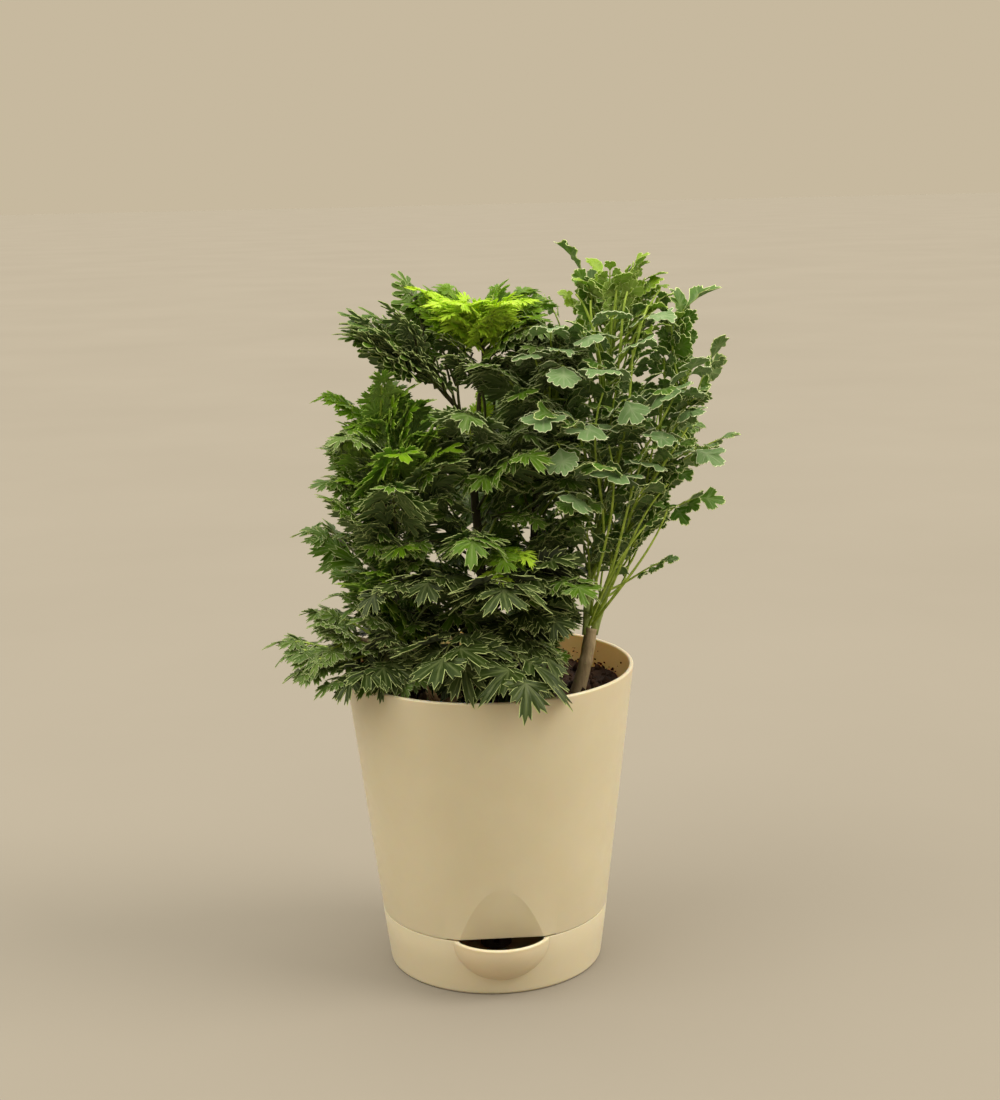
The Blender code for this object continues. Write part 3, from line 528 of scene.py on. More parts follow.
def lip_bead():
    """A round bead that finishes the spout's lip, its ends inside the base's wall."""
    bm = bmesh.new()
    centre = Vector((0.0, SPOUT_CENTRE_Y, SEAT_BOTTOM - LIP_BEAD))
    rings = []
    for step in range(LIP_STEPS + 1):
        turn = -LIP_HALF_TURN + 2.0 * LIP_HALF_TURN * step / LIP_STEPS
        outward = Vector((math.sin(turn), -math.cos(turn), 0.0))
        middle = outward * (SPOUT_RADIUS - SPOUT_WALL / 2) + centre
        rings.append([bm.verts.new(point) for point in ring_points(middle, outward, UP, LIP_BEAD, LIP_SIDES)])
    skin_rings(bm, rings)
    return bm


def skin_rings(bm, rings):
    """Joins the rings into a tube and closes both of its ends."""
    count = len(rings[0])
    for lower, upper in zip(rings, rings[1:]):
        for side in range(count):
            after = (side + 1) % count
            bm.faces.new((lower[side], lower[after], upper[after], upper[side]))
    bm.faces.new(tuple(reversed(rings[0])))
    bm.faces.new(tuple(rings[-1]))


def make_base(material):
    """The reservoir base with the spout's bowl and its beaded lip."""
    top = outer_radius(SEAT_BOTTOM)
    profile = [(0.0, 0.0)]
    profile += arc(FOOT_RADIUS - FOOT_ROUND, FOOT_ROUND, FOOT_ROUND, -90.0, 0.0)
    profile.append((outer_radius(SEAT_BOTTOM / 2), SEAT_BOTTOM / 2))
    profile += arc(top - SEAM_ROUND, SEAT_BOTTOM - SEAM_ROUND, SEAM_ROUND, 0.0, 90.0, 3)
    profile.append((0.0, SEAT_BOTTOM))
    base = temporary("base_blank", turned(profile))
    outside = temporary("outside_bowl", bowl(0.0))
    reach = RIM_RADIUS + SPOUT_REACH + OVERSHOOT
    level = temporary("level", block(
        (-reach, -reach, SEAT_BOTTOM - LIP_BEAD), (reach, reach, SEAM_HEIGHT + SPOUT_DEPTH + OVERSHOOT),
    ))
    combine(outside, "DIFFERENCE", level)
    over = SEAM_HEIGHT + OVERSHOOT
    water = temporary("water", drum(
        outer_radius(BASE_FLOOR) - BASE_WALL, BASE_FLOOR, outer_radius(over) - BASE_WALL, over))
    inside = temporary("inside_bowl", bowl(SPOUT_WALL))
    bead = temporary("bead", lip_bead())
    combine(base, "UNION", outside)
    combine(base, "DIFFERENCE", water, inside)
    combine(base, "UNION", bead)
    mesh = baked("reservoir_shell", base, material, BASE_SMOOTH)
    for helper in (base, outside, level, water, inside, bead):
        bpy.data.objects.remove(helper)
    show_mesh("reservoir_shell", mesh, "cream_plastic", "reservoir_base")


# ---------------------------------------------------------------- soil

# The disc's depth, fineness, taper and roughness; how it climbs the wall, from what share of
# its radius; and the crumbs on it and on the wall.
SOIL_DEPTH = 9.0 * MM
SOIL_RINGS = 46
SOIL_SIDES = 168
SOIL_TAPER = 0.985
SOIL_ROUGHNESS = 1.15 * MM
CLIMB_FROM = 0.86
CLIMB = 1.6 * MM
SOIL_SMOOTH = math.radians(50.0)
CRUMBS = 1500
CRUMBS_WITHIN = 0.94
CRUMB_BEDDING = 0.45
WALL_CRUMBS = 90
WALL_CRUMB_TURN = (0.62, 0.34)


def soil_height(x, y):
    edge = inner_radius(SOIL_TOP)
    mound = SOIL_MOUND * (1.0 - min(1.0, math.hypot(x, y) / edge) ** 2)
    bumps = math.sin(x * 190.0 + 0.6) * math.cos(y * 160.0 - 0.4) + 0.5 * math.sin((x - y) * 330.0)
    return SOIL_TOP + mound + SOIL_BUMP * bumps


def soil_point(share, angle, edge):
    """A place on the soil, roughened, and risen a little where it meets the wall."""
    x = edge * share * math.cos(angle)
    y = edge * share * math.sin(angle)
    rough = SOIL_ROUGHNESS * noise.fractal(Vector((x, y, 0.0)) * 170.0, 0.9, 2.1, 5)
    near_wall = max(0.0, share - CLIMB_FROM) / (1.0 - CLIMB_FROM)
    climb = CLIMB * near_wall * (0.5 + noise.noise(Vector((x, y, 1.0)) * 60.0))
    return x, y, soil_height(x, y) + rough + climb


def make_soil(material, rng):
    """A rough disc of soil with crumbs and fibres on it, and a few crumbs on the wall."""
    edge = inner_radius(SOIL_TOP) - GAP
    bottom_z = SOIL_TOP - SOIL_DEPTH
    bm = bmesh.new()
    middle = bm.verts.new((0.0, 0.0, soil_height(0.0, 0.0)))
    verts = [bm.verts.new(soil_point(ring / SOIL_RINGS, angle, edge))
             for ring in range(1, SOIL_RINGS + 1) for angle in angles_round(SOIL_SIDES)]
    foot = [bm.verts.new((v.co.x * SOIL_TAPER, v.co.y * SOIL_TAPER, bottom_z)) for v in verts[-SOIL_SIDES:]]
    bottom = bm.verts.new((0.0, 0.0, bottom_z))
    last = (SOIL_RINGS - 1) * SOIL_SIDES
    for side in range(SOIL_SIDES):
        after = (side + 1) % SOIL_SIDES
        bm.faces.new((middle, verts[side], verts[after]))
        for low in range(0, last, SOIL_SIDES):
            high = low + SOIL_SIDES
            bm.faces.new((verts[low + side], verts[high + side], verts[high + after], verts[low + after]))
        bm.faces.new((verts[last + side], foot[side], foot[after], verts[last + after]))
        bm.faces.new((foot[side], bottom, foot[after]))
    scatter_crumbs(bm, rng, edge)
    bmesh.ops.recalc_face_normals(bm, faces=bm.faces)
    mesh = mesh_from("soil_surface", bm, material)
    mesh.shade_smooth()
    mesh.set_sharp_from_angle(angle=SOIL_SMOOTH)
    show_mesh("soil_surface", mesh, "soil", "soil")


def crumb(bm, rng, place, size):
    """One irregular crumb, bedded in the soil or on the wall."""
    made = bmesh.ops.create_icosphere(bm, subdivisions=1, radius=1.0)["verts"]
    stretch = Matrix.Diagonal(rng.uniform(0.6, 1.35, 3))
    spin = Matrix.Rotation(rng.uniform(0.0, math.pi), 3, Vector(rng.normal(size=3)).normalized())
    for vert in made:
        vert.co = Vector(place) + spin @ (stretch @ (vert.co * (1.0 + rng.uniform(-0.22, 0.22)))) * size


def scatter_crumbs(bm, rng, edge):
    for _ in range(CRUMBS):
        radius = edge * math.sqrt(rng.uniform(0.0, CRUMBS_WITHIN))
        angle = rng.uniform(0.0, 2.0 * math.pi)
        x = radius * math.cos(angle)
        y = radius * math.sin(angle)
        size = MM * min(2.4, 0.35 + rng.exponential(0.45))
        crumb(bm, rng, (x, y, soil_height(x, y) + size * CRUMB_BEDDING), size)
    for _ in range(WALL_CRUMBS):
        angle = rng.normal(*WALL_CRUMB_TURN)
        z = SOIL_TOP + abs(rng.normal(0.0, 3.4)) * MM
        radius = inner_radius(z) - 0.25 * MM
        size = MM * rng.uniform(0.25, 0.7)
        crumb(bm, rng, (radius * math.cos(angle), radius * math.sin(angle), z), size)


# ---------------------------------------------------------------- stems

def smooth_path(points, steps):
    """A Catmull-Rom curve through the points, with this many steps in each span."""
    ends = [points[0] * 2 - points[1], *points, points[-1] * 2 - points[-2]]
    path = []
    for before, start, end, after in zip(ends, ends[1:], ends[2:], ends[3:]):
        for step in range(steps):
            t = step / steps
            path.append(0.5 * (
                2.0 * start + (end - before) * t
                + (2.0 * before - 5.0 * start + 4.0 * end - after) * t * t
                + (3.0 * start - before - 3.0 * end + after) * t ** 3
            ))
    path.append(points[-1].copy())
    return path


def tangents(path):
    last = len(path) - 1
    return [(path[min(i + 1, last)] - path[max(i - 1, 0)]).normalized() for i in range(last + 1)]


def framed(path, across):
    """Each point of a path with two directions across it, which twist as little as they can."""
    for point, along in zip(path, tangents(path)):
        across = (across - along * across.dot(along)).normalized()
        yield point, across, along.cross(across)


def above_soil(point_mm):
    return Vector(point_mm) * MM + UP * SOIL_TOP


# Steps in each span of a stem and in the part below the soil, the foot's swelling and the
# collar just above it, and how uneven the bark is (shares of the radius).
STEM_STEPS = 12
FOOT_STEPS = 6
FOOT_SWELLING = 1.05
COLLAR_STEPS = 5
COLLAR = 0.10
BARK_WAVE = 0.10
BARK_KNOT = 0.12


class Stem:
    """One stem's fine path, its radii and where a height lies on it."""

    def __init__(self, name):
        first, last, *points_mm = STEMS[name]
        self.name = name
        self.path = smooth_path([above_soil(point) for point in points_mm], STEM_STEPS)
        steps = len(self.path) - 1
        self.radii = [(first + (last - first) * i / steps) * MM for i in range(steps + 1)]
        self.directions = tangents(self.path)
        self.points = np.array([list(p) for p in self.path])

    def nearest(self, cloud):
        """Index of the cloud's point nearest to the stem, and of the stem's nearest point."""
        apart = np.linalg.norm(cloud[:, None, :] - self.points[None, :, :], axis=2)
        return np.unravel_index(np.argmin(apart), apart.shape)

    def at_height(self, height_mm):
        """Index of the stem's point at a height above the soil, kept off its ends."""
        place = int(np.argmin(np.abs(self.points[:, 2] - SOIL_TOP - height_mm * MM)))
        return clamp(place, 2, len(self.path) - 2)

    def build(self, material, slot_name, rng):
        """A tube with nodes and slightly wavy bark."""
        if self.name in FROM_SOIL:
            foot = [self.path[0] - UP * PLANTING_DEPTH * (FOOT_STEPS - i) / FOOT_STEPS
                    for i in range(FOOT_STEPS)]
            path = foot + self.path
            radii = [self.radii[0] * FOOT_SWELLING] * FOOT_STEPS + self.radii
            for i in range(COLLAR_STEPS):
                radii[FOOT_STEPS + i] *= 1.0 + COLLAR * (COLLAR_STEPS - i) / COLLAR_STEPS
        else:
            path = [self.path[0] - self.directions[0] * FORK_OVERLAP, *self.path]
            radii = [self.radii[0], *self.radii]
        bm = bmesh.new()
        rings = []
        phase = rng.uniform(0.0, 6.0)
        for (point, across, third), radius in zip(framed(path, Vector((1.0, 0.0, 0.0))), radii):
            knot = max(0.0, math.sin(point.z * 420.0 + phase)) ** 8
            ring = []
            for angle in angles_round(STEM_SIDES):
                x, y = math.cos(angle), math.sin(angle)
                wave = noise.noise(Vector((x * 1.3, y * 1.3, point.z * 220.0 + phase)))
                swell = 1.0 + BARK_WAVE * wave + BARK_KNOT * knot
                ring.append(bm.verts.new(point + (across * x + third * y) * radius * swell))
            rings.append(ring)
        skin_rings(bm, rings)
        bmesh.ops.recalc_face_normals(bm, faces=bm.faces)
        mesh = mesh_from(f"{self.name}_bark", bm, material)
        mesh.shade_smooth()
        show_mesh(f"{self.name}_bark", mesh, slot_name, self.name)


# ---------------------------------------------------------------- leaflets

# The edge of one lobe, from its middle to a flank: places in shares of its half width, and
# how far each place reaches.
def both_sides(*half):
    """A lobe's edge from flank to flank, from the half that runs out from its middle."""
    return [(-place, reach) for place, reach in reversed(half) if place] + list(half)


TOOTHED = both_sides((0.0, 1.0), (0.40, 0.79), (0.72, 0.89), (1.0, 0.60))
SPIKED = both_sides((0.0, 1.0), (0.42, 0.62), (0.75, 0.84), (1.0, 0.48))
BLUNT = both_sides((0.0, 1.0), (0.40, 0.97), (0.85, 0.84), (1.0, 0.56))
SCALLOP = both_sides((0.0, 1.0), (0.62, 0.97))
BROAD = both_sides((0.0, 0.94), (0.25, 1.0), (0.5, 0.90), (0.78, 0.96), (1.0, 0.80))

# Each leaflet: the point on its midrib that its lobes spread from, in shares of its length;
# the lobes' directions in degrees from the tip, with their reach; how deep the cuts between
# them go; and the edge from the last lobe back to the base.
OUTLINES = {
    "cut": {
        "centre": 0.22, "lobe": TOOTHED, "half": 14.5, "sinus": 0.40,
        "lobes": ((0, 0.78), (36, 0.74), (70, 0.62), (102, 0.45)),
        "base": ((134, 0.15), (160, 0.10), (180, 0.22)),
    },
    "fan": {
        "centre": 0.16, "lobe": TOOTHED, "half": 16.5, "sinus": 0.46,
        "lobes": ((0, 0.84), (39, 0.76), (76, 0.54)),
        "base": ((114, 0.14), (150, 0.09), (180, 0.16)),
    },
    "finger": {
        "centre": 0.20, "lobe": BLUNT, "half": 13.0, "sinus": 0.34,
        "lobes": ((0, 0.80), (38, 0.70), (76, 0.52)),
        "base": ((112, 0.13), (150, 0.09), (180, 0.20)),
    },
    "fine": {
        "centre": 0.18, "lobe": SPIKED, "half": 11.5, "sinus": 0.34,
        "lobes": ((0, 0.82), (30, 0.74), (58, 0.64), (86, 0.50), (112, 0.36)),
        "base": ((138, 0.12), (160, 0.09), (180, 0.18)),
    },
    "round": {
        "centre": 0.52, "lobe": SCALLOP, "half": 12.0, "sinus": 0.90,
        "lobes": ((0, 0.48), (27, 0.49), (54, 0.48), (81, 0.44), (107, 0.38)),
        "base": ((132, 0.33), (156, 0.34), (180, 0.52)),
    },
    "two_lobed": {
        "centre": 0.46, "lobe": BROAD, "half": 27.0, "sinus": 0.58,
        "lobes": ((33, 0.56), (92, 0.44)),
        "base": ((132, 0.26), (158, 0.28), (180, 0.46)),
    },
    "three_lobed": {
        "centre": 0.40, "lobe": BROAD, "half": 24.0, "sinus": 0.62,
        "lobes": ((0, 0.60), (58, 0.52)),
        "base": ((100, 0.28), (140, 0.22), (180, 0.40)),
    },
}
# How lobes differ from one another, and the deepest cut.
LOBE_TURNS = (-1.5, 1.5)
LOBE_REACHES = (0.86, 1.10)
LOBE_BENDS = (-0.10, 0.06)
CUT_DEPTHS = (0.88, 1.16)
TOOTH_REACHES = (0.97, 1.03)
DEEPEST_CUT = 0.97

# The pale margin's width, the ring inside it, and how high a leaflet's ribs stand.
MARGIN = 0.52 * MM
MARGIN_SHARE = 0.030
MARGIN_OF_RADIUS = 0.3
INNER_RING = 0.55
RIB_HEIGHT = 0.022


def outline_samples(shape):
    lobes = len(both_sides(*shape["lobes"]))
    return lobes * len(shape["lobe"]) + lobes - 1 + 2 * len(shape["base"]) - 1


def leaflet_topology(samples):
    """Faces of a closed leaflet: top, underside and the thin edge between them."""
    rings = 3
    side_count = 1 + samples * rings
    top = []
    for i in range(samples):
        j = (i + 1) % samples
        top.append((0, 1 + i, 1 + j))
        for ring in range(rings - 1):
            low = 1 + ring * samples
            high = low + samples
            top.append((low + i, high + i, high + j, low + j))
    under = [tuple(side_count + index for index in reversed(face)) for face in top]
    last = 1 + (rings - 1) * samples
    for i in range(samples):
        j = (i + 1) % samples
        under.append((last + i, side_count + last + i, side_count + last + j, last + j))
    return top, under


TOPOLOGY = {name: leaflet_topology(outline_samples(shape)) for name, shape in OUTLINES.items()}


def lobed_outline(shape, rng):
    """A leaflet's outline all round: angle, distance, rib (1) to cut (-1), and its lobe's bend."""
    rows = [(-degrees, reach, 0.0, 0.0) for degrees, reach in reversed(shape["base"])]
    before = None
    for degrees, reach in both_sides(*shape["lobes"]):
        middle = degrees + rng.uniform(*LOBE_TURNS)
        reach *= rng.uniform(*LOBE_REACHES)
        bend = rng.uniform(*LOBE_BENDS)
        if before:
            cut = min(before[1], reach) * min(DEEPEST_CUT, shape["sinus"] * rng.uniform(*CUT_DEPTHS))
            rows.append(((before[0] + middle) / 2, cut, -1.0, (before[2] + bend) / 2))
        for place, share in shape["lobe"]:
            rows.append((middle + place * shape["half"], reach * share * rng.uniform(*TOOTH_REACHES),
                         1.0 - abs(place), bend))
        before = (middle, reach, bend)
    rows += [(degrees, reach, 0.0, 0.0) for degrees, reach in shape["base"][:-1]]
    return np.array(rows).T


def leaflet_points(outline, length, fold, droop, curl, rng):
    """Local points (x along, y across, z up) of a leaflet's top, with its edge and rib marks."""
    shape = OUTLINES[outline]
    degrees, reach, crest, bend = lobed_outline(shape, rng)
    angles = np.radians(degrees)
    radius = reach * length
    outer = np.stack([radius * np.cos(angles), radius * np.sin(angles)], axis=1)
    step = np.roll(outer, -1, axis=0) - np.roll(outer, 1, axis=0)
    inward = np.stack([-step[:, 1], step[:, 0]], axis=1)
    inward /= np.linalg.norm(inward, axis=1)[:, None]
    band = np.minimum(min(MARGIN, MARGIN_SHARE * length), MARGIN_OF_RADIUS * radius)
    inset = outer + inward * band[:, None]
    flat = np.concatenate([np.zeros((1, 2)), inset * INNER_RING, inset, outer])
    flat = flat + np.array([shape["centre"] * length, 0.0])
    count = len(angles)
    edge = np.concatenate([np.zeros(1 + 2 * count), np.ones(count)])
    on_rib = (crest > 0.99) | (np.abs(degrees) > 179.0)
    ribs = np.concatenate([np.ones(1), on_rib * 0.9, on_rib * 0.3, on_rib * 0.0])
    x = flat[:, 0] / length
    y = flat[:, 1] / length
    ripple = np.concatenate([np.zeros(1), crest * 0.6, crest, crest])
    bends = np.concatenate([np.zeros(1), bend * 0.25, bend * 0.9, bend])
    z = fold * (np.sqrt(y * y + 0.004) - 0.063) - droop * x * x - curl * y * y * 1.6
    z = z - RIB_HEIGHT * ripple + bends
    return np.stack([flat[:, 0], flat[:, 1], z * length], axis=1), edge, ribs


class LeafMesh:
    """Gathers leaflets and stalks into one mesh with marks and three materials."""

    def __init__(self):
        self.points = []
        self.faces = []
        self.slots = []
        self.marks = []
        self.count = 0

    def add(self, points, faces, slots, marks):
        self.points.append(points)
        self.faces += [tuple(index + self.count for index in face) for face in faces]
        self.slots += slots
        self.marks.append(marks)
        self.count += len(points)

    def leaflet(self, outline, origin, forward, normal, length, rng, fold, droop, curl, tone):
        local, edge, rib = leaflet_points(outline, length, fold, droop, curl, rng)
        side = normal.cross(forward).normalized()
        normal = forward.cross(side).normalized()
        basis = np.array([list(forward), list(side), list(normal)])
        top = local @ basis + np.array(list(origin))
        under = top - np.array(list(normal)) * LEAF_THICKNESS
        marks = np.stack([edge, rib, np.full(len(edge), tone), np.ones(len(edge))], axis=1)
        top_faces, under_faces = TOPOLOGY[outline]
        slots = [0] * len(top_faces) + [1] * len(under_faces)
        self.add(np.concatenate([top, under]), top_faces + under_faces, slots, np.concatenate([marks, marks]))

    def stalk(self, path, start_radius, end_radius, tone):
        """A closed round stalk along a path."""
        last = len(path) - 1
        points = []
        for index, (point, across, third) in enumerate(framed(path, STALK_ACROSS)):
            radius = start_radius + (end_radius - start_radius) * index / last
            points += [list(place) for place in ring_points(point, across, third, radius, STALK_SIDES)]
        faces = []
        for low in range(0, last * STALK_SIDES, STALK_SIDES):
            high = low + STALK_SIDES
            for side in range(STALK_SIDES):
                after = (side + 1) % STALK_SIDES
                faces.append((low + side, low + after, high + after, high + side))
        faces.append(tuple(reversed(range(STALK_SIDES))))
        faces.append(tuple(last * STALK_SIDES + side for side in range(STALK_SIDES)))
        marks = np.tile(np.array([0.0, 0.0, tone, 1.0]), (len(points), 1))
        self.add(np.array(points), faces, [2] * len(faces), marks)

    def build(self, name, materials, slot_name, *nodes):
        mesh = bpy.data.meshes.new(name)
        mesh.from_pydata(np.concatenate(self.points), [], self.faces)
        for material in materials:
            mesh.materials.append(material)
        mesh.polygons.foreach_set("material_index", np.array(self.slots, np.int32))
        attribute = mesh.color_attributes.new("marks", "FLOAT_COLOR", "POINT")
        attribute.data.foreach_set("color", np.concatenate(self.marks).astype(np.float32).ravel())
        mesh.shade_smooth()
        mesh.set_sharp_from_angle(angle=LEAF_SMOOTH)
        show_mesh(name, mesh, slot_name, *nodes)


# ---------------------------------------------------------------- compound leaves

# A leaf's curve, as in the model: how it leaves outward and along the stem, the share of its
# climb kept at the tip, how deep its foot sits in the stem, and the lengths of its handles.
LEAVE_OUTWARD = 0.75
LEAVE_ALONG = 0.65
CLIMB_AT_TIP = 0.9
FOOT_PLACE = 0.6
FIRST_HANDLE = 0.36
LAST_HANDLE = 0.34


def leaf_curve(stem, place, tip, droop):
    """Control points of a leaf's stalk and midrib, as the model lays them."""
    point = stem.path[place]
    along = stem.directions[place]
    radius = stem.radii[place]
    outward = tip - point
    outward = (outward - along * outward.dot(along)).normalized()
    start = point + outward * (radius + GAP + STALK_HALF)
    reach = (tip - start).length
    leave = (outward * LEAVE_OUTWARD + along * LEAVE_ALONG).normalized()
    level = Vector((tip.x - start.x, tip.y - start.y, 0.0)).normalized()
    climb = (tip.z - start.z) / reach
    arrive = (level + UP * (CLIMB_AT_TIP * climb - droop)).normalized()
    foot = point + outward * radius * FOOT_PLACE
    return foot, start + leave * reach * FIRST_HANDLE, tip - arrive * reach * LAST_HANDLE, tip


def curve_point(curve, t):
    a, b, c, d = curve
    s = 1.0 - t
    return a * s ** 3 + b * (3.0 * s * s * t) + c * (3.0 * s * t * t) + d * t ** 3


def curve_path(curve, end=1.0):
    return [curve_point(curve, end * step / STALK_STEPS) for step in range(STALK_STEPS + 1)]


def curve_along(curve, t):
    a, b, c, d = curve
    s = 1.0 - t
    return ((b - a) * s * s + (c - b) * 2.0 * s * t + (d - c) * t * t).normalized()


# The leaflets' outlines; the pairs' places along a blade and their lengths, as shares of it;
# the end leaflet's length; how far the leaflets lean to the tip (degrees); the stalk's radius
# (mm); how the leaflets fold, droop and tilt; and how a crowd of companion leaves spreads
# round a leaf: turns in degrees, lifts in mm, reach as a share, how much higher in mm the
# companions close to the stem are, and how many points along the stem they may shift.
LEAF_STYLES = {
    "cut": {"outlines": ("cut", "fan"), "pairs": (0.02, 0.22, 0.44, 0.66, 0.86),
            "lengths": (0.40, 0.44, 0.42, 0.36, 0.28),
            "end": 0.38, "lean": 34.0, "stalk": 0.75, "fold": 0.16, "droop": 0.26, "tilt": 0.24,
            "companions": 4, "turn": (12.0, 60.0), "lift": (-14.0, 16.0), "reach": (0.4, 0.97),
            "crown": 0.0, "along": 8},
    "front": {"outlines": ("fan", "cut"), "pairs": (0.04, 0.36, 0.68), "lengths": (0.54, 0.60, 0.50),
              "end": 0.52, "lean": 30.0, "stalk": 0.75, "fold": 0.16, "droop": 0.28, "tilt": 0.28,
              "companions": 4, "turn": (14.0, 60.0), "lift": (-10.0, 16.0), "reach": (0.5, 0.95),
              "crown": 0.0, "along": 8},
    "finger": {"outlines": ("finger",), "pairs": (0.03, 0.28, 0.53, 0.76),
               "lengths": (0.40, 0.44, 0.40, 0.32),
               "end": 0.40, "lean": 40.0, "stalk": 0.7, "fold": 0.10, "droop": 0.14, "tilt": 0.22,
               "companions": 4, "turn": (8.0, 42.0), "lift": (-16.0, -1.0), "reach": (0.65, 1.12),
               "crown": 0.0, "along": 4},
    "fine": {"outlines": ("fine",), "pairs": (0.03, 0.28, 0.52, 0.74), "lengths": (0.46, 0.46, 0.40, 0.30),
             "end": 0.40, "lean": 40.0, "stalk": 0.6, "fold": 0.14, "droop": 0.24, "tilt": 0.22,
             "companions": 7, "turn": (20.0, 170.0), "lift": (-5.0, 2.0), "reach": (0.25, 0.95),
             "crown": 7.0, "along": 2},
    "round": {"outlines": ("round", "two_lobed", "round", "three_lobed"), "pairs": (0.12, 0.52, 0.8),
              "lengths": (0.27, 0.31, 0.27), "end": 0.35, "lean": 30.0, "stalk": 0.6, "fold": 0.30,
              "droop": 0.20, "tilt": 0.5, "companions": 7, "turn": (8.0, 85.0), "lift": (-12.0, 16.0),
              "reach": (0.3, 0.98), "crown": 0.0, "along": 12},
    "broad": {"outlines": ("round", "three_lobed"), "pairs": (0.45,), "lengths": (0.44,),
              "end": 0.72, "lean": 24.0, "stalk": 0.6, "fold": 0.12, "droop": 0.08, "tilt": 0.25},
}

# Styles whose blades don't hang as the cut leaves' do, in the leaves with no solid.
SPRAY_DROOP = {"round": LEAF_DROOP["round"], "broad": 3.2}
SPRAY_TONES = (0.1, 0.7)

# The smallest companion's blade, as a share of its kind's; how often a round leaflet is
# larger, and by how much; and the radii of the thin stalks' ends.
SMALLEST_BLADE = 0.55
LARGE_CHANCE = 0.12
LARGE_SIZE = 1.5
STALK_END = 0.28 * MM
STUB_START = 0.30 * MM
STUB_END = 0.16 * MM


# How a blade sits on its curve, and how far its leaflets differ from their style: places and
# lengths as shares, the lean in degrees, the rest as factors or in radians.
LARGEST_SHARE = 0.85
END_PLACE = 0.8
PLACE_RANGE = 0.015
LENGTHS = (0.88, 1.14)
ROLL_RANGE = 0.3
LEAN_RANGE = 9.0
NODS = (-0.10, 0.34)
SIDE_TILT = 0.12
STUBS = (0.04, 0.12)
STUB_OVERLAP = 0.2
FOLDS = (0.4, 1.6)
DROOPS = (0.3, 1.7)
CURLS = (-0.1, 0.35)
TONE_RANGE = 0.22


def grow_leaf(gather, curve, blade, style_name, rng, tone):
    """One compound leaf: stalk, midrib, leaflet pairs and an end leaflet."""
    style = LEAF_STYLES[style_name]
    path = curve_path(curve)
    reach = sum((b - a).length for a, b in zip(path, path[1:]))
    share = min(LARGEST_SHARE, blade / reach)
    blade = share * reach
    end_length = style["end"] * blade
    end_t = 1.0 - END_PLACE * end_length / reach
    gather.stalk(curve_path(curve, end_t), style["stalk"] * MM, STALK_END, tone)
    level = Vector((path[-1].x - path[0].x, path[-1].y - path[0].y, 0.0))
    sideways = level.cross(UP).normalized()
    roll = rng.uniform(-ROLL_RANGE, ROLL_RANGE)
    sideways = Matrix.Rotation(roll, 3, level.normalized()) @ sideways

    def sprout(t, side, length):
        if style_name == "round" and rng.random() < LARGE_CHANCE:
            length *= LARGE_SIZE
        origin = curve_point(curve, t)
        along = curve_along(curve, t)
        lateral = (sideways - along * sideways.dot(along)).normalized()
        normal = lateral.cross(along).normalized()
        lean = math.radians(style["lean"] + rng.uniform(-LEAN_RANGE, LEAN_RANGE))
        if side:
            forward = lateral * (side * math.cos(lean)) + along * math.sin(lean)
        else:
            forward = along
        forward = (forward - normal * rng.uniform(*NODS)).normalized()
        tilt = Matrix.Rotation(rng.uniform(-1.0, 1.0) * style["tilt"] + side * SIDE_TILT, 3, forward)
        normal = tilt @ normal
        outline = style["outlines"][rng.integers(len(style["outlines"]))]
        stub = length * rng.uniform(*STUBS) if side else 0.0
        gather.leaflet(
            outline, origin + forward * stub, forward, normal, length, rng,
            style["fold"] * rng.uniform(*FOLDS), style["droop"] * rng.uniform(*DROOPS),
            rng.uniform(*CURLS), clamp(tone + rng.uniform(-TONE_RANGE, TONE_RANGE), 0.0, 1.0),
        )
        if stub:
            inside = stub + length * STUB_OVERLAP
            gather.stalk([origin, origin + forward * inside], STUB_START, STUB_END, tone)

    first = 1.0 - share
    for pair, relative in zip(style["pairs"], style["lengths"]):
        t = first + (end_t - first) * pair
        for side in (-1, 1):
            place = t + rng.uniform(-PLACE_RANGE, PLACE_RANGE)
            sprout(place, side, relative * blade * rng.uniform(*LENGTHS))
    sprout(end_t, 0, end_length)


def node_leaf(node, stem):
    """Where the model's leaf starts on its stem and where its tip is."""
    mesh = frame["nodes"][node].data
    cloud = np.empty(len(mesh.vertices) * 3)
    mesh.vertices.foreach_get("co", cloud)
    cloud = cloud.reshape(-1, 3)
    base_index, stem_index = stem.nearest(cloud)
    far = np.argmax(np.linalg.norm(cloud - cloud[base_index], axis=1))
    return int(stem_index), Vector(cloud[far])


def stem_of(node, stems):
    middle = node[len("leaf_"):].rsplit("_", 1)[0]
    return stems.get(f"stem_{middle}") or stems.get(f"branch_{middle}")


# The whole blade's length, by kind.
BLADES = {"cut": 40.0 * MM, "round": 34.0 * MM}

# How far the leaves may reach, from the middle of the soil's surface (mm): the cut leaves'
# crown to the left and right by height, the top of the left stem's leaves by x, the window
# of bare stems below the top leaves, and the lowest and highest tips of the bush by x.
CROWN_HEIGHTS = (0, 15, 33, 53, 71, 90, 117, 135, 150, 175)
CROWN_LEFT = (-95, -93, -84, -62, -80, -70, -66, -62, -58, -54)
CROWN_RIGHT = (20, 24, 28, 32, 34, 38, 42, 44, 40, 24)
LEFT_TOP = ((-80, -66, -50, -40, -30), (104, 113, 117, 126, 134))
TOP_LEFT_TOP = ((-70, -50, -30), (154, 164, 166))
LOW_LEFT_BOTTOM = 14
WINDOW_BOTTOM = 118
WINDOW_TOP = 158
WINDOW_RIGHT = 16
BUSH_BOTTOM = ((30, 48, 62, 85, 105), (58, 66, 76, 88, 114))
BUSH_TOP = ((30, 62, 85, 100, 109), (176, 182, 164, 148, 120))
BUSH_HEIGHTS = (54, 92, 110, 135, 161, 186)
BUSH_RIGHT = (70, 82, 98, 91, 87, 72)

# How far the companion leaves' tips stay above the soil.
LEAF_CLEARANCE = 3.0 * MM


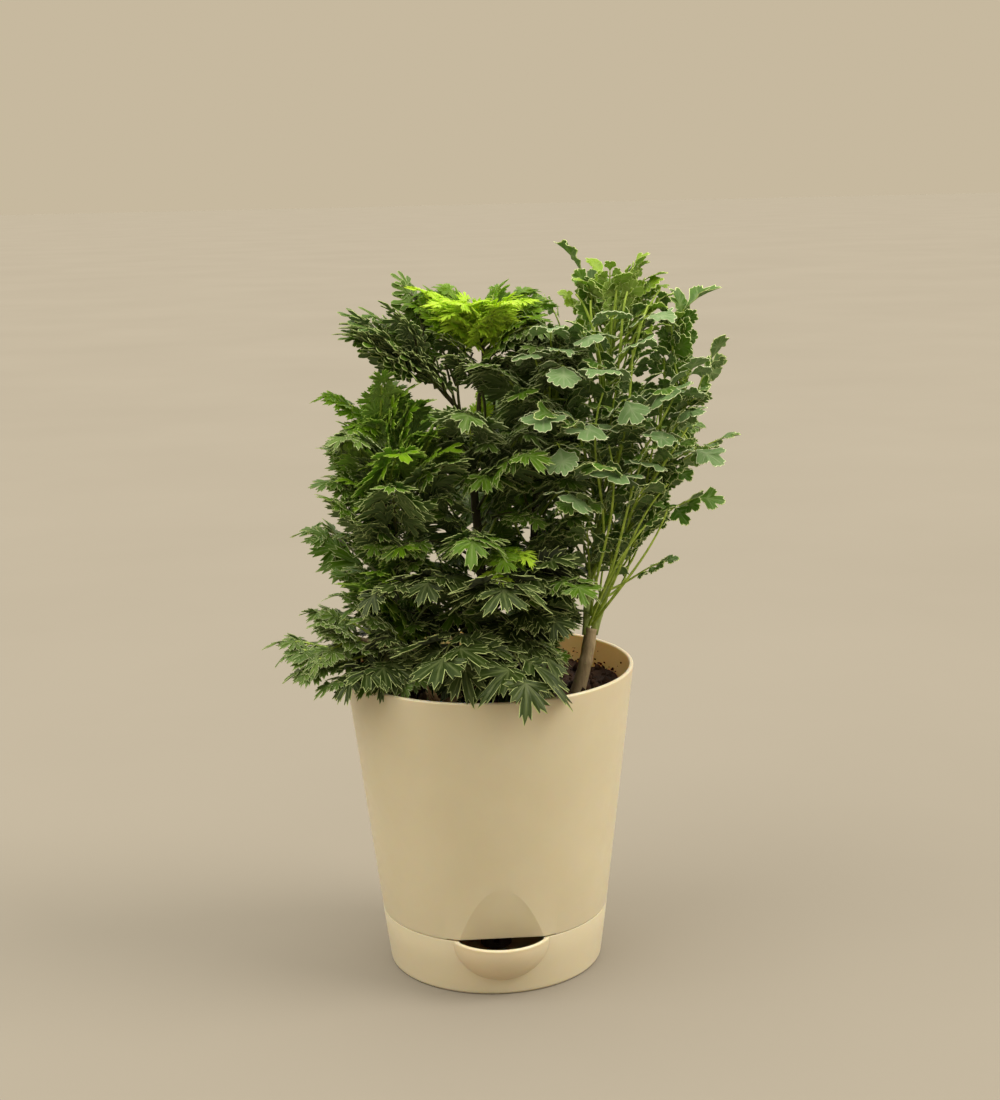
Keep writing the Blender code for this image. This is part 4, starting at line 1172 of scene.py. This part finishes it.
def inside_crown(tip, kind, stem_name):
    """The tip, moved inside the whole plant's box and its own part of the crown."""
    x, y, z = (tip - UP * SOIL_TOP) / MM
    if kind == "cut":
        x = clamp(x, np.interp(z, CROWN_HEIGHTS, CROWN_LEFT), np.interp(z, CROWN_HEIGHTS, CROWN_RIGHT))
    else:
        x = min(x, np.interp(z, BUSH_HEIGHTS, BUSH_RIGHT))
        z = clamp(z, np.interp(x, *BUSH_BOTTOM), np.interp(x, *BUSH_TOP))
    if stem_name == LEFT:
        z = min(z, np.interp(x, *LEFT_TOP))
    if stem_name == LOW_LEFT:
        z = max(z, LOW_LEFT_BOTTOM)
    if stem_name == TOP_LEFT:
        z = min(z, np.interp(x, *TOP_LEFT_TOP))
    if stem_name == CENTRE or stem_name == MIDDLE and x < WINDOW_RIGHT:
        z = min(z, WINDOW_BOTTOM)
    if stem_name.startswith("branch"):
        z = max(z, WINDOW_TOP)
    low = (cad_low.x, cad_low.y, SOIL_TOP + LEAF_CLEARANCE)
    return Vector([clamp(*row) for row in zip(above_soil((x, y, z)), low, cad_high)])


# Leaves with smaller blades than their kind.
BLADE_SHARES = {
    "leaf_right_outer_5": 0.62, "leaf_right_upright_2": 0.6, "leaf_top_3": 0.75, "leaf_top_left_2": 0.75,
}

# Leaves that look paler or darker than their slot's others: the first list takes a paler grey-green, partly
# the leaves' own tone and partly painted light on leaves that sit in shade; the front leaves of the second
# take a much darker copy, which is painted shade.
PALE_PAINTED_LIGHT_LEAVES = ("middle_1", "middle_2", "middle_3", "middle_5", "centre_1", "left_3", "low_left_1")
FRONT = ("centre_4", "centre_5", "centre_6", "low_left_2")
LOOKS = {
    "leaf_right_upright_2": "leaf_tip",
    **{f"leaf_{leaf}": "leaf_pale_painted_light" for leaf in PALE_PAINTED_LIGHT_LEAVES},
    **{f"leaf_{leaf}": "leaf_painted_shade" for leaf in FRONT},
}


def make_leaf(node, stems, leaf_materials, rng):
    """The fine leaf for one node, with the smaller leaves that crowd round its stalk."""
    stem = stem_of(node, stems)
    slot_name = NODE_SLOTS[node]
    kind = "round" if "right" in node else "cut"
    style_name = kind
    if slot_name == "leaf_lime" and kind == "cut":
        style_name = "fine"
    elif "top_left" in node:
        style_name = "finger"
    # The front leaves, which take the darker copy that paints shade on them, also take the front style.
    elif LOOKS.get(node) == "leaf_painted_shade":
        style_name = "front"
    style = LEAF_STYLES[style_name]
    index, tip = node_leaf(node, stem)
    droop = LEAF_DROOP[kind]
    gather = LeafMesh()
    tone = rng.uniform(0.2, 0.8)
    curve = leaf_curve(stem, index, tip, droop)
    grow_leaf(gather, curve, BLADES[kind] * BLADE_SHARES.get(node, 1.0), style_name, rng, tone)
    for extra in range(style["companions"]):
        shift = int(rng.integers(-style["along"], style["along"] + 1))
        place = clamp(index + shift, 3, len(stem.path) - 2)
        pivot = stem.path[place]
        turn = math.radians(rng.uniform(*style["turn"]) * (1 if extra % 2 else -1))
        reach = rng.uniform(*style["reach"])
        other = Matrix.Rotation(turn, 3, "Z") @ (tip - pivot) * reach + pivot
        other += UP * (rng.uniform(*style["lift"]) + style["crown"] * (1.0 - reach)) * MM
        other = inside_crown(other, kind, stem.name)
        curve = leaf_curve(stem, place, other, droop * rng.uniform(0.7, 1.3))
        grow_leaf(gather, curve, BLADES[kind] * rng.uniform(SMALLEST_BLADE, 1.0), style_name, rng, tone)
    # Leaves listed in LOOKS take another tissue than their slot's: some paler, partly painted light, and some
    # darker, painted shade.
    look = LOOKS.get(node, slot_name)
    gather.build(f"{node}_spray", leaf_materials[look], slot_name, node)


# Leaves inside and on the crown that have no solid of their own: the look, the slot, the
# style and then, stem by stem, each leaf's height where its stalk leaves the stem, its tip's
# x, y and z, and its blade (all mm, from the middle of the soil's surface).
INNER_SPRAYS = {
    "inner_leaves_dark": ("leaf_dark", "leaf_dark", "cut", (
        (LEFT, (30, -34, -34, 38, 34), (38, -18, -30, 52, 34), (24, -44, -30, 22, 32)),
        (CENTRE, (26, -18, -26, 40, 34), (44, -26, -22, 62, 36), (62, -20, -24, 84, 36)),
        (MIDDLE, (40, 34, -26, 62, 34), (58, 38, -22, 80, 34), (70, 36, -28, 98, 34)),
        (CENTRE, (36, 14, -34, 48, 34)),
        (LEFT, (74, -46, -30, 88, 36), (88, -52, -20, 106, 34)),
        (MIDDLE, (100, 40, -10, 122, 32), (84, 14, -30, 106, 34)),
        (CENTRE, (94, -24, -16, 106, 32)),
        (MIDDLE, (118, 44, 2, 142, 32)),
    )),
    "inner_leaves_low": ("leaf_dark", "leaf_dark", "cut", (
        (MIDDLE, (16, 38, 16, 26, 28), (20, 34, 34, 36, 32), (24, 18, 44, 34, 34), (28, 44, 26, 48, 30),
         (34, 46, 6, 52, 28), (46, 48, 12, 70, 30), (22, 43, -4, 36, 26), (18, 36, -10, 30, 28),
         (24, 38, 0, 41, 28), (12, 32, -16, 17, 24), (28, 30, -22, 46, 28)),
        (LEFT, (34, -66, -16, 58, 28), (28, -62, -28, 46, 28)),
        (MIDDLE, (44, 34, 4, 68, 30), (52, 32, 24, 74, 30), (56, 40, 16, 66, 28), (50, 28, -10, 72, 28)),
        (LEFT, (26, -26, 10, 42, 32)),
        (CENTRE, (34, -26, 12, 50, 32), (28, -14, 22, 40, 30)),
        (LEFT, (36, -38, 10, 50, 30)),
    )),
    "inner_leaves_mid": ("leaf_mid", "leaf_mid", "cut", (
        (LEFT, (44, -50, -34, 62, 34), (52, -38, -40, 74, 34), (92, -58, -22, 116, 32),
         (104, -46, -18, 125, 30), (78, -60, -20, 100, 34)),
        (CENTRE, (56, 6, -46, 66, 30)),
        (LEFT, (90, -32, -14, 136, 32), (104, -60, -8, 121, 30), (108, -52, 8, 126, 30),
         (86, -25, -18, 132, 32), (80, -24, -24, 120, 32), (96, -38, 8, 136, 30)),
        (TOP, (150, 30, 12, 168, 30), (146, 22, -14, 164, 30), (156, -30, 10, 172, 28),
         (154, -22, 18, 174, 26), (152, -27, 12, 176, 26), (154, -16, 16, 178, 24),
         (154, 10, 16, 177, 24), (152, 19, 12, 175, 26), (150, 26, 8, 170, 26), (152, -30, 4, 169, 26),
         (148, 26, -4, 164, 26), (146, 31, 4, 160, 26)),
    )),
    # This group takes the paler grey-green tissue, partly painted light where the leaves sit in shade.
    "top_right_leaves": ("leaf_pale_painted_light", "leaf_mid", "cut", (
        (TOP, (148, 27, -20, 160, 26)),
        (MIDDLE, (126, 31, -24, 150, 28), (124, 20, -24, 154, 26), (128, 35, -18, 160, 26),
         (120, 26, -28, 144, 26), (126, 38, -26, 152, 24)),
    )),
    # This group takes the paler grey-green tissue, partly painted light where the leaves sit in shade.
    "low_left_leaves": ("leaf_pale_painted_light", "leaf_dark", "cut", (
        (LOW_LEFT, (24, -74, -30, 34, 30), (28, -58, -36, 44, 30), (22, -44, -40, 32, 30),
         (30, -80, -8, 40, 26), (20, -40, -46, 14, 28), (30, -88, -26, 16, 30), (28, -74, -36, 12, 28),
         (31, -92, -18, 24, 30), (26, -56, -42, 13, 26), (28, -68, -18, 50, 26)),
    )),
    "top_left_leaves": ("leaf_dark", "leaf_dark", "finger", (
        (TOP_LEFT, (140, -59, -12, 160, 30), (144, -54, -6, 165, 28), (138, -49, -14, 152, 28),
         (146, -42, -8, 170, 26), (134, -35, -14, 153, 24), (132, -27, -12, 150, 22),
         (146, -32, -14, 164, 26), (142, -46, 4, 160, 28), (142, -51, -12, 163, 30),
         (145, -50, 0, 168, 30), (140, -46, -16, 159, 28), (143, -57, -2, 162, 30)),
        (TOP, (134, -16, -14, 150, 22), (132, -9, -14, 146, 20), (134, 4, -16, 145, 20),
         (138, 11, -14, 148, 22), (136, 17, -10, 150, 24), (142, -22, -6, 158, 24)),
    )),
    "lime_rosette": ("leaf_lime", "leaf_lime", "fine", (
        (TOP, (158, -22, -14, 171, 26), (158, -10, -24, 172, 26), (158, 12, -22, 172, 26),
         (158, 22, -8, 172, 26), (158, -15, -12, 173, 20), (158, 13, -12, 173, 20),
         (157, 0, -22, 173, 20), (158, -8, 12, 173, 20), (157, 18, 10, 173, 24), (157, -20, 4, 174, 24),
         (156, 4, -18, 168, 20), (156, -16, -18, 167, 20)),
    )),
    "young_shoots": ("leaf_lime", "leaf_lime", "fine", (
        (CENTRE, (50, 16, -40, 66, 24), (44, 4, -48, 60, 22), (106, 2, 8, 134, 18),
         (104, -2, 12, 126, 16)),
    )),
    "bush_inner_leaves": ("leaf_grey", "leaf_grey", "round", (
        (UPRIGHT, (140, 68, -6, 168, 26), (134, 74, 2, 160, 28), (122, 70, -14, 150, 28),
         (108, 74, -10, 138, 28), (146, 64, 12, 176, 24)),
        (OUTER, (120, 76, -4, 150, 26), (126, 80, 8, 160, 26)),
        (UPRIGHT, (98, 66, -20, 126, 28)),
        (OUTER, (84, 62, -18, 106, 28)),
        (UPRIGHT, (70, 56, -20, 92, 26)),
        (OUTER, (62, 66, -14, 84, 24)),
        (UPRIGHT, (84, 60, -26, 112, 26), (52, 56, -14, 72, 22)),
        (OUTER, (50, 74, -10, 74, 20)),
        (UPRIGHT, (132, 46, -12, 158, 28), (112, 40, -20, 138, 28)),
        (OUTER, (104, 88, 2, 138, 26), (96, 90, -10, 124, 26), (90, 86, -16, 112, 24),
         (76, 82, -14, 98, 22)),
    )),
    "broad_leaves": ("leaf_broad", "leaf_grey", "broad", (
        (MIDDLE, (112, 23, -40, 122, 26)),
        (UPRIGHT, (124, 47, -40, 139, 26), (104, 41, -40, 116, 26), (82, 52, -40, 95, 31)),
        (MIDDLE, (74, 35, -42, 87, 26)),
        (OUTER, (116, 74, -40, 131, 32), (98, 72, -38, 113, 24)),
        (UPRIGHT, (138, 62, -34, 149, 24)),
        (OUTER, (96, 93, -26, 104, 24), (84, 66, -36, 100, 22)),
        (UPRIGHT, (140, 42, -34, 154, 22), (112, 58, -40, 126, 22)),
        (MIDDLE, (126, 32, -38, 141, 22)),
        (OUTER, (120, 86, -32, 140, 22)),
        (UPRIGHT, (146, 52, -30, 163, 20), (148, 72, -26, 162, 20)),
        (MIDDLE, (128, 27, -30, 157, 20), (126, 31, -32, 149, 20), (122, 18, -30, 147, 18),
         (100, 30, -40, 106, 22)),
        (OUTER, (100, 84, -32, 122, 22)),
    )),
    "bush_tips": ("leaf_tip", "leaf_grey", "round", (
        (UPRIGHT, (150, 42, -6, 180, 20), (156, 50, 6, 184, 20), (160, 63, -8, 184, 18),
         (158, 74, 2, 181, 20), (148, 80, -4, 172, 22), (166, 54, -10, 186, 18), (144, 36, 10, 173, 22)),
        (OUTER, (130, 84, -2, 164, 20)),
        (UPRIGHT, (160, 80, 4, 177, 18), (152, 73, -6, 168, 22), (150, 78, -8, 160, 22),
         (163, 70, -2, 186, 18)),
    )),
    "inner_leaves_back": ("leaf_dark", "leaf_dark", "cut", (
        (CENTRE, (52, -24, 16, 69, 32), (42, -22, 18, 54, 32)),
        (MIDDLE, (50, -8, 24, 64, 32), (52, 2, 26, 58, 30)),
        (CENTRE, (54, 18, 24, 68, 30)),
        (LEFT, (40, -50, 14, 57, 30)),
        (CENTRE, (36, -28, 14, 47, 30)),
    )),
}


def make_inner_sprays(stems, leaf_materials, rng):
    """The leaves of the table above, each group one piece."""
    for name, (look, slot_name, style_name, runs) in INNER_SPRAYS.items():
        droop = SPRAY_DROOP.get(style_name, LEAF_DROOP["cut"])
        gather = LeafMesh()
        for stem_name, *leaves in runs:
            stem = stems[stem_name]
            for height, *tip, blade in leaves:
                curve = leaf_curve(stem, stem.at_height(height), above_soil(tip), droop)
                grow_leaf(gather, curve, blade * MM, style_name, rng, rng.uniform(*SPRAY_TONES))
        gather.build(name, leaf_materials[look], slot_name)


# Leaf stalks that show bare, in the window below the top leaves and fanned up through the
# bush: the look, the slot, both radii (mm), and rows of the four control points of a curve
# (mm, from the middle of the soil's surface).
BARE_STALKS = {
    "bare_stalks": ("leaf_dark", "stem_dark", (0.75, 0.45), (
        ((-9, 4, 116), (-13, 0, 130), (-13, -3, 137), (-16, -5, 147)),
        ((-8, 5, 116), (-11, 0, 128), (-11, 0, 137), (-10, -2, 148)),
        ((-11, 0, 136), (-9, -1, 140), (-6, -2, 145), (-4, -3, 150)),
        ((-11, 0, 136), (-13, 1, 141), (-14, 2, 146), (-17, 2, 152)),
        ((0, 5, 118), (2, 1, 127), (1, 0, 132), (-5, -3, 145)),
        ((-1, 0, 138), (0, 0, 140), (2, -1, 143), (6, -2, 149)),
        ((4, 8, 118), (6, 6, 128), (6, 5, 136), (3, 4, 152)),
        ((-20, 0, 135), (-21, 0, 139), (-21, 0, 143), (-20, -2, 149)),
        ((-25, 0, 140), (-27, -1, 145), (-29, -2, 148), (-34, -4, 156)),
        ((18, 8, 118), (20, 4, 127), (23, 1, 134), (27, -2, 146)),
        ((16, 8, 116), (14, 4, 128), (13, 1, 137), (10, -2, 146)),
    )),
    "bush_stalks": ("leaf_grey", "stem_green", (0.75, 0.40), (
        ((44, -6, 30), (50, -18, 52), (56, -26, 66), (66, -28, 78)),
        ((45, -6, 30), (56, -20, 50), (70, -24, 66), (76, -24, 84)),
        ((46, -4, 32), (56, -20, 52), (60, -26, 80), (76, -26, 95)),
        ((45, -4, 34), (44, -20, 58), (58, -26, 84), (51, -26, 112)),
        ((45, -2, 34), (58, -22, 62), (56, -28, 90), (68, -28, 112)),
        ((46, -2, 50), (58, -16, 80), (38, -24, 106), (49, -24, 134)),
        ((52, 0, 80), (58, -26, 112), (60, -30, 132), (61, -28, 152)),
        ((54, 0, 84), (62, -26, 104), (74, -30, 122), (80, -28, 136)),
        ((58, 2, 70), (66, -24, 92), (76, -28, 106), (84, -28, 119)),
        ((52, 4, 120), (52, -18, 146), (44, -20, 158), (45, -18, 172)),
        ((54, 4, 124), (60, -16, 146), (56, -18, 162), (61, -14, 175)),
        ((55, 4, 124), (64, -16, 142), (64, -16, 158), (70, -12, 169)),
        ((56, 0, 140), (52, -8, 160), (59, -8, 172), (57, -6, 182)),
        ((56, 0, 140), (66, -8, 154), (68, -8, 166), (76, -6, 175)),
        ((55, 0, 136), (48, -8, 154), (46, -8, 168), (40, -6, 174)),
    )),
}


def make_bare_stalks(leaf_materials, rng):
    """The stalks of the table above, each group one piece."""
    for name, (look, slot_name, radii, rows) in BARE_STALKS.items():
        gather = LeafMesh()
        for row in rows:
            path = curve_path([above_soil(point) for point in row])
            gather.stalk(path, *(radius * MM for radius in radii), rng.uniform(0.0, 1.0))
        gather.build(name, leaf_materials[look], slot_name)


# Dried leaflets on the soil, and where they lie (mm).
FALLEN_LEAVES = 26
FALLEN_X = (-50.0, -12.0)
FALLEN_Y = (-44.0, 4.0)
FALLEN_FROM_WALL = 8.0 * MM


def make_fallen_leaves(materials, rng):
    """Dried leaflets that lie curled on the soil at the left."""
    gather = LeafMesh()
    for _ in range(FALLEN_LEAVES):
        x = rng.uniform(*FALLEN_X) * MM
        y = rng.uniform(*FALLEN_Y) * MM
        if math.hypot(x, y) > inner_radius(SOIL_TOP) - FALLEN_FROM_WALL:
            continue
        place = Vector((x, y, soil_height(x, y) + rng.uniform(2.0, 7.0) * MM))
        heading = rng.uniform(0.0, 2.0 * math.pi)
        forward = Vector((math.cos(heading), math.sin(heading), rng.uniform(-0.3, 0.5))).normalized()
        normal = (UP + Vector(rng.uniform(-0.7, 0.7, 3))).normalized()
        length = rng.uniform(11.0, 19.0) * MM
        gather.leaflet("cut", place, forward, normal, length, rng, rng.uniform(0.4, 1.0),
                       rng.uniform(-0.1, 0.3), rng.uniform(-0.6, 0.2), rng.uniform(0.0, 1.0))
    gather.build("fallen_leaves", materials, "bark")


# ---------------------------------------------------------------- studio

# The photograph's camera, as solved.
EYE = Vector((-38.8, -762.6, 342.5)) * MM
LOOK = Vector((0.0615, 0.9776, -0.2011)).normalized()
ROLL = math.radians(1.29)
FOCAL = 58.5
SENSOR = 36.0
SHIFT_X = -0.0068
NEAREST = 0.01
FARTHEST = 30.0


def make_camera():
    """The photograph's viewpoint: a little above the rim, looking slightly down."""
    data = bpy.data.cameras.new("camera")
    data.lens = FOCAL
    data.sensor_width = SENSOR
    data.shift_x = SHIFT_X
    data.clip_start = NEAREST
    data.clip_end = FARTHEST
    camera = linked("camera", data)
    right = LOOK.cross(UP).normalized()
    above = right.cross(LOOK)
    rolled_right = right * math.cos(ROLL) - above * math.sin(ROLL)
    rolled_above = right * math.sin(ROLL) + above * math.cos(ROLL)
    turn = Matrix((rolled_right, rolled_above, -LOOK)).transposed()
    camera.matrix_world = Matrix.Translation(EYE) @ turn.to_4x4()
    bpy.context.scene.camera = camera


# The dome's colours, and the floor's size in metres.
HORIZON = (0.570, 0.485, 0.346)
FRONT_SKY = (0.66, 0.62, 0.54)
BACK_SKY = (1.35, 1.30, 1.18)
ZENITH = (2.5, 2.45, 2.3)
FLOOR_RADIUS = 60.0

# Each sun's direction, angle in degrees, strength and colour.
SUNS = {
    "key": ((-0.74, 0.20, -0.66), 32.0, 2.0, (1.0, 0.96, 0.90)),
    "fill": ((0.66, 0.30, -0.70), 50.0, 1.05, (1.0, 0.97, 0.92)),
}


def make_world():
    """A soft dome: the wall's warm beige low down, brighter above and behind than in front."""
    world = bpy.data.worlds.new("studio")
    nodes = Nodes(world)
    place = nodes.add("TexCoord", {}).outputs["Generated"]
    parts = nodes.add("SeparateXYZ", {"Vector": place}).outputs
    sky = nodes.mix(nodes.remap(parts["Y"], -0.7, 0.5), FRONT_SKY, BACK_SKY)
    sky = nodes.mix(nodes.remap(parts["Z"], 0.55, 0.95), sky, ZENITH)
    colour = nodes.mix(nodes.remap(parts["Z"], 0.16, 0.5), HORIZON, sky)
    nodes.put(nodes.tree.nodes["Background"], {"Color": colour})
    bpy.context.scene.world = world


def make_studio():
    """The dome, a plain floor and two soft suns."""
    make_world()
    bm = bmesh.new()
    bmesh.ops.create_circle(bm, cap_ends=True, segments=96, radius=FLOOR_RADIUS)
    linked("floor", mesh_from("floor", bm, floor_material()))
    for name, (direction, angle_degrees, strength, colour) in SUNS.items():
        data = bpy.data.lights.new(name, "SUN")
        data.angle = math.radians(angle_degrees)
        data.energy = strength
        data.color = colour
        linked(name, data).rotation_euler = Vector(direction).to_track_quat("-Z", "Y").to_euler()
    bpy.context.scene.view_settings.view_transform = "Standard"


# ---------------------------------------------------------------- everything

# Light and shaded cream, the two tones of the plastic's mottle; then a yellower copy for the pot's inside
# wall, which paints the warm light in its shaded inside.
CREAM = ((0.635, 0.545, 0.372), (0.60, 0.51, 0.338))
CREAM_PAINTED_INSIDE_LIGHT = ((0.65, 0.60, 0.26), (0.57, 0.52, 0.20))

# Dark, light and young bark by slot.
BARKS = {
    "bark": ("bark_brown", (0.15, 0.10, 0.045), (0.36, 0.27, 0.14), (0.28, 0.28, 0.10)),
    "stem_dark": ("bark_dark", (0.030, 0.022, 0.010), (0.09, 0.075, 0.03), (0.08, 0.10, 0.03)),
    "stem_green": ("bark_green", (0.15, 0.20, 0.035), (0.33, 0.41, 0.10), (0.40, 0.44, 0.16)),
}
CREAM_EDGE = (0.48, 0.56, 0.21)

# Leaf tissue by look: deep and fresh tones, margin, the light through it, roughness, where
# the margin starts and how much light comes through.
TISSUES = {
    "leaf_dark": (
        (0.03, 0.08, 0.003), (0.11, 0.208, 0.009), CREAM_EDGE, (0.2, 0.42, 0.01), 0.38, 0.54, 0.24),
    # A much darker copy of the dark leaves' tissue for the front leaves: painted shade.
    "leaf_painted_shade": (
        (0.014, 0.029, 0.003), (0.04, 0.064, 0.008), CREAM_EDGE, (0.1, 0.2, 0.01), 0.4, 0.58, 0.12),
    # A paler grey-green tissue: partly the leaves' own tone, partly painted light on leaves that sit in
    # shade.
    "leaf_pale_painted_light": (
        (0.062, 0.12, 0.014), (0.15, 0.24, 0.032), (0.56, 0.64, 0.3), (0.26, 0.46, 0.02), 0.38, 0.5, 0.26),
    "leaf_mid": (
        (0.072, 0.17, 0.003), (0.2, 0.36, 0.006), (0.42, 0.56, 0.1), (0.38, 0.66, 0.01), 0.38, 0.6, 0.32),
    "leaf_lime": (
        (0.54, 0.8, 0.055), (0.7, 0.92, 0.1), (0.72, 0.88, 0.1), (0.8, 0.96, 0.04), 0.45, 0.66, 0.42),
    "leaf_tip": (
        (0.21, 0.35, 0.018), (0.42, 0.59, 0.05), (0.7, 0.78, 0.28), (0.42, 0.66, 0.03), 0.4, 0.46, 0.32),
    "leaf_grey": (
        (0.04, 0.11, 0.008), (0.15, 0.275, 0.034), (0.74, 0.82, 0.36), (0.3, 0.54, 0.02), 0.38, 0.34, 0.26),
    "leaf_broad": (
        (0.14, 0.235, 0.08), (0.24, 0.355, 0.14), (0.82, 0.88, 0.54), (0.3, 0.52, 0.04), 0.42, 0.56, 0.26),
}
DRY_TISSUE = (
    (0.1, 0.055, 0.022), (0.3, 0.19, 0.085), (0.34, 0.24, 0.12), (0.3, 0.16, 0.05), 0.7, 0.62, 0.15)

# Low and high tones of the stalks.
STALK_BROWN = ((0.040, 0.038, 0.010), (0.10, 0.12, 0.020))
STALK_GREEN = ((0.22, 0.32, 0.025), (0.42, 0.54, 0.070))
# Looks whose stalks are brown: the dark leaves and the darker copy that paints shade on the front leaves.
ON_BROWN_STALKS = ("leaf_dark", "leaf_painted_shade")


def main():
    rng = np.random.default_rng(SEED)
    cream = plastic_material("cream_plastic_skin", *CREAM)
    make_pot(cream, plastic_material("cream_plastic_painted_inside_light", *CREAM_PAINTED_INSIDE_LIGHT))
    make_base(cream)
    basket = frame["nodes"]["wick_basket"].data
    basket.materials.clear()
    basket.materials.append(dark_plastic_material())
    make_soil(soil_material(), rng)

    barks = {slot_name: bark_material(*tones) for slot_name, tones in BARKS.items()}
    stems = {name: Stem(name) for name in STEMS}
    for name, stem in stems.items():
        stem.build(barks[NODE_SLOTS[name]], NODE_SLOTS[name], rng)

    brown = stalk_material("stalk_brown", *STALK_BROWN)
    green = stalk_material("stalk_green", *STALK_GREEN)
    leaf_materials = {look: leaf_pair(look, brown if look in ON_BROWN_STALKS else green, *tissue)
                      for look, tissue in TISSUES.items()}
    for node in sorted(name for name in frame["nodes"] if name.startswith("leaf_")):
        make_leaf(node, stems, leaf_materials, rng)
    make_inner_sprays(stems, leaf_materials, rng)
    make_bare_stalks(leaf_materials, rng)
    dry = leaf_material("dry_leaf", *DRY_TISSUE)
    make_fallen_leaves((dry, dry, brown), rng)
    make_camera()
    make_studio()


main()
